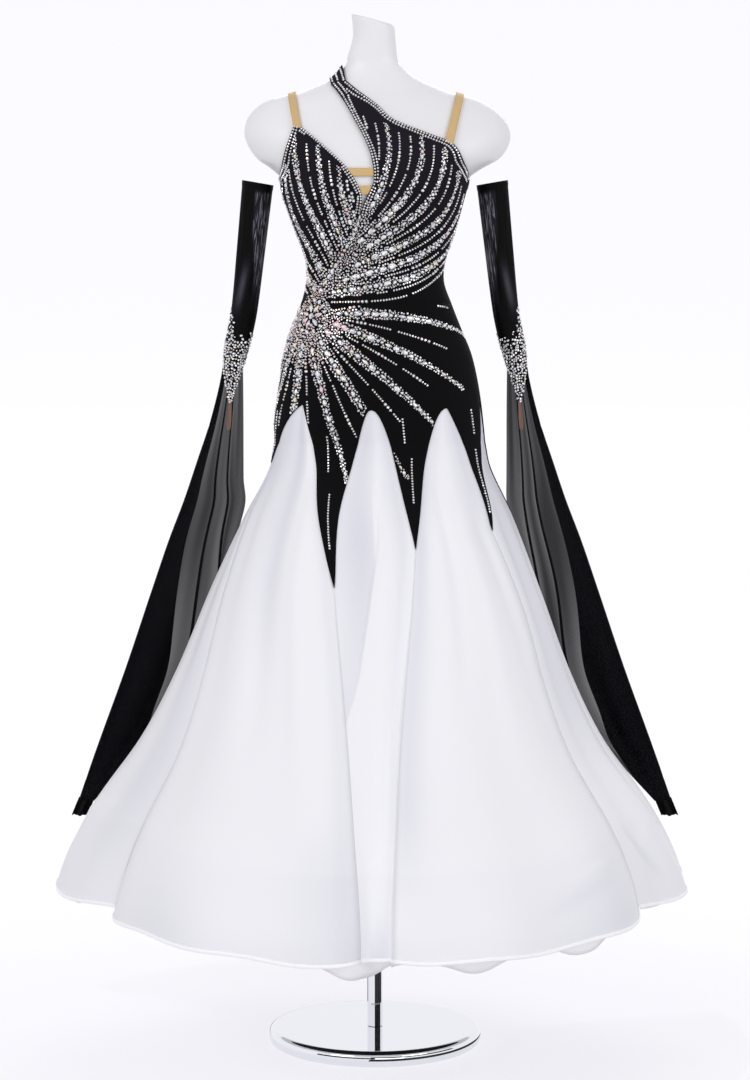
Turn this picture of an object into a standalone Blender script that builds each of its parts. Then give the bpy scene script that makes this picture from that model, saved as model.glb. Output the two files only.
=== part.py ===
"""Ballroom dance dress with its two detached sleeves, worn by a limbless dress form on a stand.

Metres, +Z up. The front faces -Y and the origin is the centre of the base's underside, on the pole.
Angles go round the figure from the front, 0, towards +X. Left and right are -X and +X.
"""

import math
from bisect import bisect_right

import bmesh
import bpy
from mathutils import Vector

# Cloth walls, the seams between them, and how far the dress form keeps inside the dress
VELVET = 0.0014
SATIN = 0.0012
MESH = 0.0010
ELASTIC = 0.0012
SEAM = 0.0003
FORM_CLEARANCE = 0.0040
HIP_CLEARANCE = 0.0055
HIP_TOP = 1.04           # where one clearance has become the other, over so much height below
HIP_BLEND = 0.05

# The stand: a plated disc with a rounded edge, a tube and the plate under the form
BASE_RADIUS = 0.170
BASE_HEIGHT = 0.025
BASE_EDGE = 0.0118
BASE_EDGE_STEPS = 8
POLE_RADIUS = 0.0122
FLANGE_RADIUS = 0.045
FLANGE_HEIGHT = 0.006
FORM_BOTTOM = 0.800
FORM_ROUNDING = 0.014    # height of the rounded edge under the form, and how far it runs in
FORM_TUCK = 0.020
FORM_COLUMNS = 36
FORM_STEPS = ((1.0, 0.090), (1.21, 0.045), (2.0, 0.019))   # up to a height, rows this far apart

# Heights of the seams that go round the dress
WAIST = 1.178
HIP_LINE = 0.962
ARMHOLE = 1.362
BACK_SCOOP = 0.075       # depth at the spine, and how steeply it starts from the armholes
SCOOP_START = 1.05
HEM_BAND = 0.125

# The figure, a row for each section from the hips up:
# height, sideways shift, half width, depth in front, depth behind
FIGURE = (
    (0.780, 0.006, 0.1500, 0.086, 0.096),
    (0.860, 0.007, 0.1590, 0.094, 0.110),
    (0.944, 0.008, 0.1640, 0.100, 0.123),
    (1.000, 0.006, 0.1620, 0.102, 0.128),
    (1.053, 0.006, 0.1545, 0.100, 0.120),
    (1.100, 0.004, 0.1455, 0.096, 0.103),
    (1.137, 0.002, 0.1325, 0.091, 0.088),
    (1.175, 0.002, 0.1175, 0.085, 0.077),
    (1.214, 0.000, 0.1062, 0.080, 0.072),
    (1.250, 0.001, 0.1090, 0.081, 0.073),
    (1.298, 0.000, 0.1262, 0.088, 0.084),
    (1.345, -0.002, 0.1410, 0.096, 0.096),
    (1.362, -0.001, 0.1455, 0.098, 0.100),
    (1.376, 0.000, 0.1520, 0.099, 0.102),
    (1.389, 0.002, 0.1680, 0.099, 0.103),
    (1.405, 0.005, 0.1930, 0.098, 0.103),
    (1.427, 0.005, 0.2085, 0.092, 0.101),
    (1.448, 0.003, 0.2110, 0.083, 0.097),
    (1.474, 0.000, 0.1965, 0.068, 0.090),
    (1.495, -0.001, 0.1645, 0.054, 0.082),
    (1.505, 0.000, 0.1255, 0.046, 0.077),
    (1.526, 0.000, 0.0712, 0.035, 0.069),
    (1.548, -0.003, 0.0467, 0.030, 0.061),
    (1.561, -0.004, 0.0432, 0.030, 0.055),
    (1.590, -0.001, 0.0378, 0.034, 0.046),
    (1.616, -0.003, 0.0380, 0.038, 0.043),
)
FULLNESS = 0.10          # how much squarer than an ellipse the sections are
BUST_HEIGHT = 1.352
BUST_APART = 0.070
BUST_WIDTH = 0.052
BUST_TALL = 0.052
BUST_DEPTH = 0.026
NECK_CUT_TILT = 0.27     # the neck's top face falls this much for each unit to the right
NECK_CUT_START = 1.570   # the tilt grows from here to the top
NECK_CUT_GROWS = 0.045

# The skirt's outline over its folds, a row for each section from the hem up, in FIGURE's columns.
# The sections turn from the figure's fuller shape to ellipses on the way down.
FLARE = (
    (0.200, 0.000, 0.518, 0.500, 0.515),
    (0.270, 0.000, 0.504, 0.486, 0.500),
    (0.335, 0.000, 0.477, 0.452, 0.466),
    (0.395, 0.000, 0.440, 0.412, 0.428),
    (0.487, 0.000, 0.372, 0.345, 0.362),
    (0.593, 0.001, 0.317, 0.284, 0.302),
    (0.728, 0.003, 0.263, 0.214, 0.236),
    (0.850, 0.005, 0.210, 0.150, 0.177),
    (0.920, 0.007, 0.174, 0.112, 0.138),
    (0.962, 0.0075, 0.1642, 0.1010, 0.1252),
)

# The points of the hip yoke, left to right from the left side and on round the back, each at the
# top of a skirt seam: angle of the tip, its height, angle of the seam at the hem, height of the
# hem there, depth of the crease along the seam at the hem, the crease's width to its left, to
# its right, and the height in which the seam drifts from the one angle to the other
SEAMS = (
    (-82, 0.930, -60.0, 0.264, 0.050, 0.070, 0.050, 0.62),
    (-14, 0.752, -2.4, 0.236, 0.040, 0.020, 0.060, 0.50),
    (13.5, 0.808, 3.0, 0.236, 0.030, 0.034, 0.040, 0.54),
    (51, 0.830, 60.0, 0.262, 0.050, 0.050, 0.070, 0.18),
    (97, 0.850, 89.0, 0.268, 0.040, 0.050, 0.035, 0.30),
    (138, 0.830, 138.0, 0.258, 0.052, 0.040, 0.060, 0.18),
    (180, 0.790, 180.0, 0.248, 0.048, 0.050, 0.050, 0.18),
    (222, 0.830, 222.0, 0.262, 0.052, 0.060, 0.040, 0.18),
)
DRIFT_POWER = 1.6        # how much sooner a seam drifts near its tip

# The arch of skirt between each point and the next: angle and height of its top, how its left
# and its right edge bow, the number of soft waves across the gore under it, their depth, their
# phase in turns, how far the gore's middle sinks, and how many degrees the left and the right
# edge belly out to the right halfway down
ARCHES = (
    (-44.5, 1.024, 0.78, 0.85, 2.0, 0.012, 0.10, 0.000, 0.0, 0.0),
    (-4, 1.017, 0.42, 0.48, 1.0, 0.004, 0.30, 0.016, -3.8, 0.0),
    (38, 1.019, 0.48, 0.64, 2.0, 0.012, 0.40, 0.000, 0.0, 7.0),
    (77, 1.026, 1.20, 0.60, 1.0, 0.016, 0.20, 0.000, 0.0, 0.0),
    (117, 1.026, 0.60, 0.60, 1.0, 0.014, 0.60, 0.000, 0.0, 0.0),
    (159, 1.026, 0.60, 0.60, 2.0, 0.010, 0.10, 0.000, 0.0, 0.0),
    (201, 1.026, 0.60, 0.60, 2.0, 0.011, 0.55, 0.000, 0.0, 0.0),
    (250, 1.026, 0.60, 0.60, 1.0, 0.016, 0.35, 0.000, 0.0, 0.0),
)
GORES = len(SEAMS)
RELIEF_POWER = 1.25      # how slowly the folds open on their way down
GORE_COLUMNS = 8
POINT_COLUMNS = 4
YOKE_ROWS = 3
TOP_SHARE = 0.12         # the gore's blunt top and the point's blunt tip, in shares of a row
TIP_SHARE = 0.96
HEM_DIP = 0.004          # how much lower a gore hangs in its middle than at its seams
ROUND_BELOW = 0.50
ROUND_BLEND = 0.40
HEM_RADIUS = 0.50
HEM_HEIGHT = 0.250
FLOUNCE_HEIGHT = 0.475
SMALLEST_RADIUS = 0.10   # of the sections where cloth meets at a seam

# Rows of faces, counted from an arch's top down: the last along a point's edge, the last above
# the stiff hem band, the first of the flounce under the skirt, and the hem
ARCH_ROWS = 5
FLOUNCE_ROW = 8
BAND_ROW = 9
HEM_ROW = 10
FLOUNCE_DROPS = (0.004, 0.012)    # below the skirt's hem, behind and in front
FLOUNCE_INSETS = (0.0045, 0.011, 0.013)   # at its top, at the band's top and at the hem


def smooth_row(rows, at):
    """The values of a table's columns at one height, on smooth curves through its rows."""
    keys = [row[0] for row in rows]
    at = min(max(at, keys[0]), keys[-1])
    low = min(max(bisect_right(keys, at) - 1, 0), len(rows) - 2)
    step = keys[low + 1] - keys[low]
    t = (at - keys[low]) / step

    def slope(i, column):
        before, after = max(i - 1, 0), min(i + 1, len(rows) - 1)
        return (rows[after][column] - rows[before][column]) / (keys[after] - keys[before])

    values = []
    for column in range(1, len(rows[0])):
        a, b = rows[low][column], rows[low + 1][column]
        values.append(
            a * (2 * t**3 - 3 * t**2 + 1)
            + b * (3 * t**2 - 2 * t**3)
            + step * slope(low, column) * (t**3 - 2 * t**2 + t)
            + step * slope(low + 1, column) * (t**3 - t**2)
        )
    return values


def mix(a, b, t):
    return a + (b - a) * t


def ease(t):
    """0 to 1, level at both ends."""
    t = min(max(t, 0.0), 1.0)
    return t * t * (3 - 2 * t)


def on_section(section, angle, fullness, inset=0.0):
    """The point of a section at an angle, moved inwards by inset."""
    shift, half, front, back = section
    sine, cosine = math.sin(angle), math.cos(angle)
    depth = front if cosine > 0 else back
    x = shift + (half - inset) * sine * (1 + fullness * cosine**2)
    return x, -(depth - inset) * cosine


def figure(angle, height, inset=0.0):
    """A point of the figure's own surface, moved inwards by inset."""
    x, y = on_section(smooth_row(FIGURE, height), angle, FULLNESS, inset)
    if math.cos(angle) > 0:
        across = (abs(x) - BUST_APART) / BUST_WIDTH
        up = (height - BUST_HEIGHT) / BUST_TALL
        y -= BUST_DEPTH * math.exp(-across**2 - up**2) * ease(3 * math.cos(angle))
    return Vector((x, y, height))


def lifted(surface, angle, height, lift):
    """A point of a surface, moved out along its normal."""
    near = 0.002
    along = surface(angle + 0.01, height) - surface(angle - 0.01, height)
    up = surface(angle, height + near) - surface(angle, height - near)
    return surface(angle, height) + along.cross(up).normalized() * lift


def angle_at(x, height):
    """The angle of the figure's front at x; past the section's half width it is the side seam."""
    shift, half, _, _ = smooth_row(FIGURE, height)
    sought = (x - shift) / half
    if abs(sought) >= 1:
        return math.copysign(math.pi / 2, sought)
    low, high = -math.pi / 2, math.pi / 2
    for _ in range(40):
        middle = (low + high) / 2
        if math.sin(middle) * (1 + FULLNESS * math.cos(middle) ** 2) < sought:
            low = middle
        else:
            high = middle
    return low


def seam_angle(number, height):
    """A skirt seam's angle in degrees; it counts on past the last seam for one more turn."""
    turns, k = divmod(number, GORES)
    tip, tip_height, hem = SEAMS[k][:3]
    share = min(max((tip_height - height) / SEAMS[k][7], 0.0), 1.0)
    return mix(tip, hem, 1 - (1 - share) ** DRIFT_POWER) + 360 * turns


def seam_value(number, column):
    return SEAMS[number % GORES][column]


def tip_height(number, share):
    """The height where the folds start, at a share of a gore's width."""
    return mix(seam_value(number, 1), seam_value(number + 1, 1), share)


def hem_height(number, share):
    low = mix(seam_value(number, 3), seam_value(number + 1, 3), share)
    return low - HEM_DIP * math.sin(math.pi * share)


def crease(distance, width):
    return math.exp(-((abs(distance) / width) ** 1.4))


def relief(number, share, height):
    """How deep the folds are, at a share of a gore's width from its left seam, and a height."""
    start = tip_height(number, share)
    down = (start - height) / (start - hem_height(number, share))
    if down <= 0:
        return 0.0
    waves, depth, phase, sink = ARCHES[number % GORES][4:8]
    hem_width = math.radians(seam_angle(number + 1, 0.0) - seam_angle(number, 0.0)) * HEM_RADIUS
    total = seam_value(number, 4) * crease(share * hem_width, seam_value(number, 6))
    total += seam_value(number + 1, 4) * crease((1 - share) * hem_width, seam_value(number + 1, 5))
    wave = 0.5 - 0.5 * math.cos(math.tau * (waves * share + phase))
    total += (depth * wave + sink) * math.sin(math.pi * share)
    return total * down**RELIEF_POWER


def gown(angle, height, inset=0.0):
    """A point of the dress below the waist: the hips, and under the points the folded skirt."""
    if height >= HIP_LINE:
        return figure(angle, height, inset)
    degrees = math.degrees(angle)
    first = seam_angle(0, height)
    turned = first + (degrees - first) % 360
    number = max(k for k in range(GORES) if seam_angle(k, height) <= turned + 1e-6)
    left, right = seam_angle(number, height), seam_angle(number + 1, height)
    folds = relief(number, (turned - left) / (right - left), height)
    fullness = FULLNESS * ease((height - ROUND_BELOW) / ROUND_BLEND)
    x, y = on_section(smooth_row(FLARE, height), angle, fullness, folds + inset)
    return Vector((x, y, height))


def arch_edge(number, side, t):
    """A point of an arch's edge, in degrees and height; side is 0 left or 1 right, t runs down."""
    row = ARCHES[number % GORES]
    top = row[0] + 360 * (number // GORES)
    tip = seam_angle(number + side, HIP_LINE)
    belly = row[8 + side] * max(math.sin(math.pi * t), 0.0) ** 1.5
    return mix(top, tip, t ** row[2 + side]) + belly, mix(row[1], seam_value(number + side, 1), t)


def edge_share(row):
    """Rows along a point's edge lie closer where it bends, near the arch's top."""
    return (row / ARCH_ROWS) ** 1.5


# ---- Making pieces: each is drawn flat, as a pattern, and then wrapped round the figure


def material(name, colour, roughness, metallic=0.0):
    found = bpy.data.materials.new(name)
    found.use_nodes = True
    shader = found.node_tree.nodes["Principled BSDF"]
    shader.inputs["Base Color"].default_value = (*colour, 1.0)
    shader.inputs["Roughness"].default_value = roughness
    shader.inputs["Metallic"].default_value = metallic
    found.diffuse_color = (*colour, 1.0)
    return found


def add_object(collection, name, bm, finish):
    mesh = bpy.data.meshes.new(name)
    bm.to_mesh(mesh)
    bm.free()
    mesh.shade_smooth()
    made = bpy.data.objects.new(name, mesh)
    made.data.materials.append(finish)
    collection.objects.link(made)
    return made


def flat_grid(bm, columns, rows, place):
    """Adds a grid whose vertex at share u across and v up lies flat at place(u, v)."""
    made = bmesh.ops.create_grid(bm, x_segments=columns, y_segments=rows, size=0.5)
    for vertex in made["verts"]:
        vertex.co = (*place(vertex.co.x + 0.5, vertex.co.y + 0.5), 0.0)


def wrap(collection, name, bm, surface, inner, outer, finish):
    """Gives a flat pattern its wall, from lift inner to outer, and lays it on a surface."""
    pattern = bm.verts.layers.float_vector.new("pattern")
    for vertex in bm.verts:
        vertex[pattern] = vertex.co
        vertex.co = lifted(surface, vertex.co.x, vertex.co.y, inner)
    bmesh.ops.remove_doubles(bm, verts=bm.verts, dist=1e-6)
    made = bmesh.ops.extrude_face_region(bm, geom=bm.faces[:], use_keep_orig=True)
    for vertex in made["geom"]:
        if isinstance(vertex, bmesh.types.BMVert):
            vertex.co = lifted(surface, vertex[pattern].x, vertex[pattern].y, outer)
    bmesh.ops.recalc_face_normals(bm, faces=bm.faces)
    return add_object(collection, name, bm, finish)


def panel(collection, name, table, columns, steps, wall, finish):
    """A panel of the figure between two edges, with so many rows of faces to a row of its table."""
    rows = len(table) - 1

    def place(u, v):
        low = min(int(v * rows + 1e-6), rows - 1)
        x_left, left_height, x_right, right_height = (
            mix(a, b, v * rows - low) / 1000 for a, b in zip(table[low], table[low + 1])
        )
        left, right = angle_at(x_left, left_height), angle_at(x_right, right_height)
        width = (figure(right, right_height) - figure(left, left_height)).length
        inset = 0.5 * SEAM / max(width, 0.002)
        across = mix(inset, 1 - inset, u)
        return mix(left, right, across), mix(left_height, right_height, across)

    bm = bmesh.new()
    flat_grid(bm, columns, rows * steps, place)
    return wrap(collection, name, bm, figure, 0.0, wall, finish)


# ---- The bodice

# Front pieces, a row for each section from the waist up: x and height of the left edge, x and
# height of the right edge, in millimetres. An edge at SIDE lies on the side seam.
SIDE = 250
CUP = (
    (-SIDE, 1178, -96, 1178),
    (-SIDE, 1222, -76, 1212),
    (-SIDE, 1266, -51, 1254),
    (-SIDE, 1306, -28, 1298),
    (-SIDE, 1340, -20, 1342),
    (-SIDE, 1362, -29, 1366),
    (-148, 1376, -38, 1380),
    (-144, 1390, -49, 1394),
    (-138, 1414, -70, 1414),
    (-130, 1438, -93, 1434),
    (-125, 1452, -113, 1450),
)
WRAP = (
    (-96, 1178, SIDE, 1178),
    (-76, 1212, SIDE, 1214),
    (-51, 1254, SIDE, 1256),
    (-28, 1298, SIDE, 1300),
    (-18, 1332, SIDE, 1336),
    (-4, 1362, SIDE, 1362),
    (-2, 1376, 144, 1380),
    (-3, 1390, 137, 1396),
    (-8, 1412, 120, 1424),
    (-18, 1436, 84, 1439),
    (-32, 1462, 28, 1462),
    (-44, 1484, 4, 1484),
    (-58, 1505, -24, 1505),
    (-67, 1516, -44, 1522),
)
CUP_COLUMNS = 8
WRAP_COLUMNS = 12
BACK_COLUMNS = 8
BACK_ROWS = 5
BACK_WIDTH = 0.2
BARS = (("upper", 1375, 1387), ("lower", 1347, 1360))
BAR_EASE = 0.2           # millimetres more at each end than a seam's gap

# Straps, a row each: x and height of the front end's left and right corner, and x of the left
# and right edge over the shoulder and at the back, all in millimetres
STRAPS = (
    ("shoulder_strap_left", "nude_elastic", (-125, 1452, -113, 1450), (-135, -123), (-98, -86)),
    ("shoulder_strap_right", "nude_elastic", (107, 1429.4, 119, 1424.4), (126, 138), (86, 98)),
    ("halter_strap", "black_velvet", (-67, 1516, -44, 1522), (-70, -50), (-12, 12)),
)

STRAP_ROWS = 20
STRAP_LIFT = 0.0006


def edge_x(table, column, height):
    """x of an edge of a front piece at a height, in millimetres."""
    for lower, upper in zip(table, table[1:]):
        if lower[column + 1] <= height <= upper[column + 1]:
            share = (height - lower[column + 1]) / (upper[column + 1] - lower[column + 1])
            return mix(lower[column], upper[column], share)
    raise ValueError(f"no edge at {height}")


def back_top(angle):
    """Height of the back's upper edge, scooped from the armholes to the spine."""
    step = 0.5 * math.pi / BACK_COLUMNS
    low = math.floor(angle / step + 1e-6)
    before, after = (ARMHOLE - BACK_SCOOP * ease(-SCOOP_START * math.cos(k * step)) for k in (low, low + 1))
    return mix(before, after, angle / step - low)


def build_bodice(collection, finishes):
    velvet = finishes["black_velvet"]
    panel(collection, "bodice_cup", CUP, CUP_COLUMNS, 2, VELVET, velvet)
    panel(collection, "bodice_wrap", WRAP, WRAP_COLUMNS, 2, VELVET, velvet)
    for name, start in (("bodice_back_right", 0.5 * math.pi), ("bodice_back_left", math.pi)):
        bm = bmesh.new()

        def place(u, v, start=start):
            inset = 0.5 * SEAM / BACK_WIDTH
            angle = start + 0.5 * math.pi * mix(inset, 1 - inset, u)
            return angle, mix(WAIST, back_top(angle), v)

        flat_grid(bm, BACK_COLUMNS, BACK_ROWS, place)
        wrap(collection, name, bm, figure, 0.0, VELVET, velvet)
    for name, low, high in BARS:
        rows = [
            (edge_x(CUP, 2, height) + BAR_EASE, height, edge_x(WRAP, 0, height) - BAR_EASE, height)
            for height in (low, high)
        ]
        panel(collection, f"keyhole_bar_{name}", rows, 2, 1, ELASTIC, finishes["nude_elastic"])


def ridge(x):
    """The height of the shoulder's top line over x."""
    low, high = 1.450, 1.600
    for _ in range(40):
        middle = (low + high) / 2
        shift, half, _, _ = smooth_row(FIGURE, middle)
        if abs(x - shift) < half:
            low = middle
        else:
            high = middle
    return low


def strap_surface(front, over, back):
    """A band of the figure over the shoulder: u across it, s from its front end, -1, to 1."""
    left, left_height, right, right_height = (value / 1000 for value in front)

    def at(u, s):
        x_over = mix(*over, u) / 1000
        top = ridge(x_over)
        if s < 0:
            x_end, low = mix(left, right, u), mix(left_height, right_height, u) + SEAM
        else:
            x_end, low = mix(*back, u) / 1000, ARMHOLE
            for _ in range(8):
                low = back_top(math.pi - angle_at(x_end, low)) + SEAM
        x, height = mix(x_over, x_end, s * s), mix(top, low, s * s)
        angle = angle_at(x, height)
        return figure(angle if s < 0 else math.pi - angle, height)

    return at


def build_straps(collection, finishes):
    for name, finish, *ends in STRAPS:
        bm = bmesh.new()
        flat_grid(bm, 2, STRAP_ROWS, lambda u, v: (u, mix(-1, 1, v)))
        surface = strap_surface(*ends)
        wrap(collection, name, bm, surface, STRAP_LIFT, STRAP_LIFT + ELASTIC, finishes[finish])


# ---- The hip yoke and the skirt


def yoke_piece(collection, name, first, at_waist, finish):
    """Half the yoke: a band from the waist, and under it four points, from point first on."""
    seam = math.degrees(0.5 * SEAM / SMALLEST_RADIUS)
    ends = (first, first + 4)

    def edge(number, side, t):
        """An edge of a point: its left edge, side 0, is the right edge of the arch before it."""
        angle, height = arch_edge(number - 1, 1, t) if side == 0 else arch_edge(number, 0, t)
        outermost = number + side in ends
        if t > 0 or outermost:
            angle += seam if side == 0 else -seam
        return angle, height

    def place_band(u, v):
        number = min(first + int(u * 4 + 1e-6), first + 3)
        left, right = edge(number, 0, 0.0), edge(number, 1, 0.0)
        angle, low = (mix(a, b, u * 4 - (number - first)) for a, b in zip(left, right))
        high = mix(at_waist[0] + seam, at_waist[1] - seam, u)
        return math.radians(mix(angle, high, v)), mix(low, WAIST - SEAM, v)

    bm = bmesh.new()
    flat_grid(bm, 4 * POINT_COLUMNS, YOKE_ROWS, place_band)
    for number in range(*ends):

        def place_point(u, v, number=number):
            row = round((1 - v) * ARCH_ROWS)
            corners = [edge(number, side, edge_share(row)) for side in (0, 1)]
            if row == ARCH_ROWS:
                above = [edge(number, side, edge_share(row - 1)) for side in (0, 1)]
                corners = [
                    [mix(a, b, TIP_SHARE) for a, b in zip(*pair)] for pair in zip(above, corners)
                ]
            angle, height = (mix(a, b, u) for a, b in zip(*corners))
            return math.radians(angle), height

        flat_grid(bm, POINT_COLUMNS, ARCH_ROWS, place_point)
    bmesh.ops.remove_doubles(bm, verts=bm.verts, dist=1e-5)
    return wrap(collection, name, bm, gown, 0.0, VELVET, finish)


def gore_row(number, row, u):
    """A point of a gore, in degrees and height, at one of its rows counted from the arch's top."""
    seam = math.degrees(0.5 * SEAM / SMALLEST_RADIUS)
    if row <= ARCH_ROWS:
        left, right = (arch_edge(number, side, edge_share(row)) for side in (0, 1))
        if row == 0:
            under = [arch_edge(number, side, edge_share(1)) for side in (0, 1)]
            left, right = (
                [mix(a, b, TOP_SHARE) for a, b in zip(*pair)] for pair in zip((left, right), under)
            )
        heights = left[1] - SEAM, right[1] - SEAM
        return mix(left[0] + seam, right[0] - seam, u), mix(*heights, u)
    start, hem = tip_height(number, u), hem_height(number, u)
    band = hem + HEM_BAND
    if row <= BAND_ROW:
        height = mix(start, band, (row - ARCH_ROWS) / (BAND_ROW - ARCH_ROWS))
    else:
        height = mix(band, hem, (row - BAND_ROW) / (HEM_ROW - BAND_ROW))
    radius = smooth_row(FLARE, height)[1]
    seam = math.degrees(0.5 * SEAM / radius)
    left, right = seam_angle(number, height) + seam, seam_angle(number + 1, height) - seam
    return mix(left, right, u), height


def gore_layer(bm, number, first_row, last_row, drops=(0.0, 0.0)):
    """The flat pattern of a gore between two of its rows, its hem lowered behind and in front."""
    rows = last_row - first_row

    def place(u, v):
        row = last_row - round(v * rows)
        degrees, height = gore_row(number, row, u)
        angle = math.radians(degrees)
        if row == HEM_ROW:
            height -= mix(*drops, 0.5 + 0.5 * math.cos(angle))
        return angle, height

    flat_grid(bm, GORE_COLUMNS, rows, place)


def build_skirt(collection, finishes):
    velvet, satin = finishes["black_velvet"], finishes["white_satin"]
    yoke_piece(collection, "hip_yoke_front", 0, (-90, 90), velvet)
    yoke_piece(collection, "hip_yoke_back", 4, (90, 270), velvet)
    under_gore = -SATIN - SEAM
    for number in range(GORES):
        bm = bmesh.new()
        gore_layer(bm, number, 0, HEM_ROW)
        wrap(collection, f"skirt_gore_{number + 1}", bm, gown, -SATIN, 0.0, satin)
        bm = bmesh.new()
        gore_layer(bm, number, BAND_ROW, HEM_ROW)
        name = f"hem_band_{number + 1}"
        wrap(collection, name, bm, gown, under_gore - MESH, under_gore, finishes["crin_mesh"])
    for number in range(0, GORES, 2):
        bm = bmesh.new()
        gore_layer(bm, number, FLOUNCE_ROW, HEM_ROW, FLOUNCE_DROPS)
        gore_layer(bm, number + 1, FLOUNCE_ROW, HEM_ROW, FLOUNCE_DROPS)
        bmesh.ops.remove_doubles(bm, verts=bm.verts, dist=2 * SEAM / HEM_RADIUS)
        name = f"under_flounce_{number // 2 + 1}"
        wrap(collection, name, bm, flounce_surface, -SATIN, 0.0, satin)


def flounce_surface(angle, height):
    """The gown's surface drawn in: close under the gores at the top, and free of them below."""
    top, band, hem = FLOUNCE_INSETS
    share = (FLOUNCE_HEIGHT - height) / (FLOUNCE_HEIGHT - HEM_BAND - HEM_HEIGHT)
    inset = mix(top, band, ease(share)) if share < 1 else mix(band, hem, ease(share - 1))
    return gown(angle, height, inset)


# ---- The detached sleeves

# Down the sleeve and past its cuff, a row for each section from the finger loop up:
# height, distance of its middle from the figure's axis, half width, half depth
SLEEVE = (
    (1.010, 0.2290, 0.0150, 0.0105),
    (1.065, 0.2245, 0.0175, 0.0130),
    (1.108, 0.2180, 0.0188, 0.0150),
    (1.134, 0.2120, 0.0196, 0.0160),
    (1.168, 0.2055, 0.0198, 0.0170),
    (1.260, 0.1950, 0.0215, 0.0185),
    (1.372, 0.1830, 0.0237, 0.0205),
)
SLEEVE_Y = 0.022
SLEEVE_TOP = (1.371, 1.363)       # heights of the top opening, outer and inner side
SLEEVE_BOTTOM = 1.110
CUFF_TIP = 1.024
CUFF_TIP_WIDTH = 0.06    # share of the cuff's half turn that is left at its tip
CUFF_BOW = 0.85
TUBE_COLUMNS = 12
TUBE_ROWS = 4
CUFF_COLUMNS = 6
CUFF_ROWS = 4
LOOP_LENGTH = 0.045
LOOP_WIDTH = 0.021
LOOP_CORD = 0.0011
LOOP_TURN = 75.0         # degrees from the front: the loop hangs nearly edge on
LOOP_LEAN = 0.0015       # how far its lower end swings out
LOOP_POINTS = 10

# The float, from the cuff down: height, x and y of its outer edge, and its inner edge on the
# skirt, as an angle in degrees and a lift off it
FLOAT = (
    (1.109, 0.2367, 0.034, 103, 0.056),
    (1.060, 0.2440, 0.045, 106, 0.056),
    (0.990, 0.2620, 0.054, 107, 0.050),
    (0.925, 0.2840, 0.061, 106, 0.0375),
    (0.864, 0.3050, 0.068, 106, 0.0125),
    (0.797, 0.3310, 0.078, 109, 0.0046),
    (0.714, 0.3600, 0.088, 114, 0.0036),
    (0.589, 0.4030, 0.100, 118, 0.0026),
    (0.475, 0.4450, 0.106, 114, 0.0032),
    (0.416, 0.4660, 0.104, 106, 0.007),
    (0.372, 0.4810, 0.100, 102, 0.016),
)
FLOAT_COLUMNS = 6
FLOAT_ROWS = 10
FLOAT_JOIN = 0.030       # the height in which it leaves the round of the sleeve
FLOAT_WAVE = 0.007       # depth of its soft folds, their number, and the heights in which they
FLOAT_WAVES = 2.5        # grow under the cuff and fade above the tail
FOLDS_GROW = 0.25
FOLDS_FADE = 0.15
TAIL_LENGTH = 0.026
TAIL_SWINGS = (0.012, 0.012)      # how far its inner and outer edge swing out on their way down
TAIL_RUFFLE = 0.004
TAIL_COLUMNS = 8
TAIL_ROWS = 2


def sleeve_ring(side, angle, height):
    """A point of a sleeve: side is -1 left or 1 right, angle 0 its front and a quarter turn +X."""
    middle, half_width, half_depth = smooth_row(SLEEVE, height)
    x = side * middle + half_width * math.sin(angle)
    return Vector((x, SLEEVE_Y - half_depth * math.cos(angle), height))


def float_edges(side, height):
    """The float's outer and inner edge at a height."""
    table = [row for row in reversed(FLOAT)]
    x, y, angle, lift = smooth_row(table, height)
    outer = Vector((side * x, y, height))
    inner = gown(side * math.radians(angle), height, -lift)
    return outer, inner


def build_sleeves(collection, finishes):
    mesh_cloth, chiffon = finishes["black_mesh"], finishes["black_chiffon"]
    for name, side in (("left", -1), ("right", 1)):

        def ring(angle, height, side=side):
            return sleeve_ring(side, angle, height)

        def place_tube(u, v, side=side):
            angle = math.tau * u
            share = 0.5 - 0.5 * side * math.sin(angle)
            return angle, mix(SLEEVE_BOTTOM, mix(*SLEEVE_TOP, share), v)

        bm = bmesh.new()
        flat_grid(bm, TUBE_COLUMNS, TUBE_ROWS, place_tube)
        wrap(collection, f"sleeve_{name}_tube", bm, ring, 0.0, MESH, mesh_cloth)

        def place_cuff(u, v):
            half = 0.5 * math.pi * mix(CUFF_TIP_WIDTH, 1.0, v**CUFF_BOW)
            return mix(-half, half, u), mix(CUFF_TIP, SLEEVE_BOTTOM - SEAM, v)

        bm = bmesh.new()
        flat_grid(bm, CUFF_COLUMNS, CUFF_ROWS, place_cuff)
        wrap(collection, f"sleeve_{name}_cuff", bm, ring, 0.0, MESH, mesh_cloth)

        top = ring(0.0, CUFF_TIP - SEAM)
        finger_loop(collection, f"sleeve_{name}_finger_loop", side, top, finishes["nude_elastic"])
        build_float(collection, name, side, chiffon)


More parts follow.
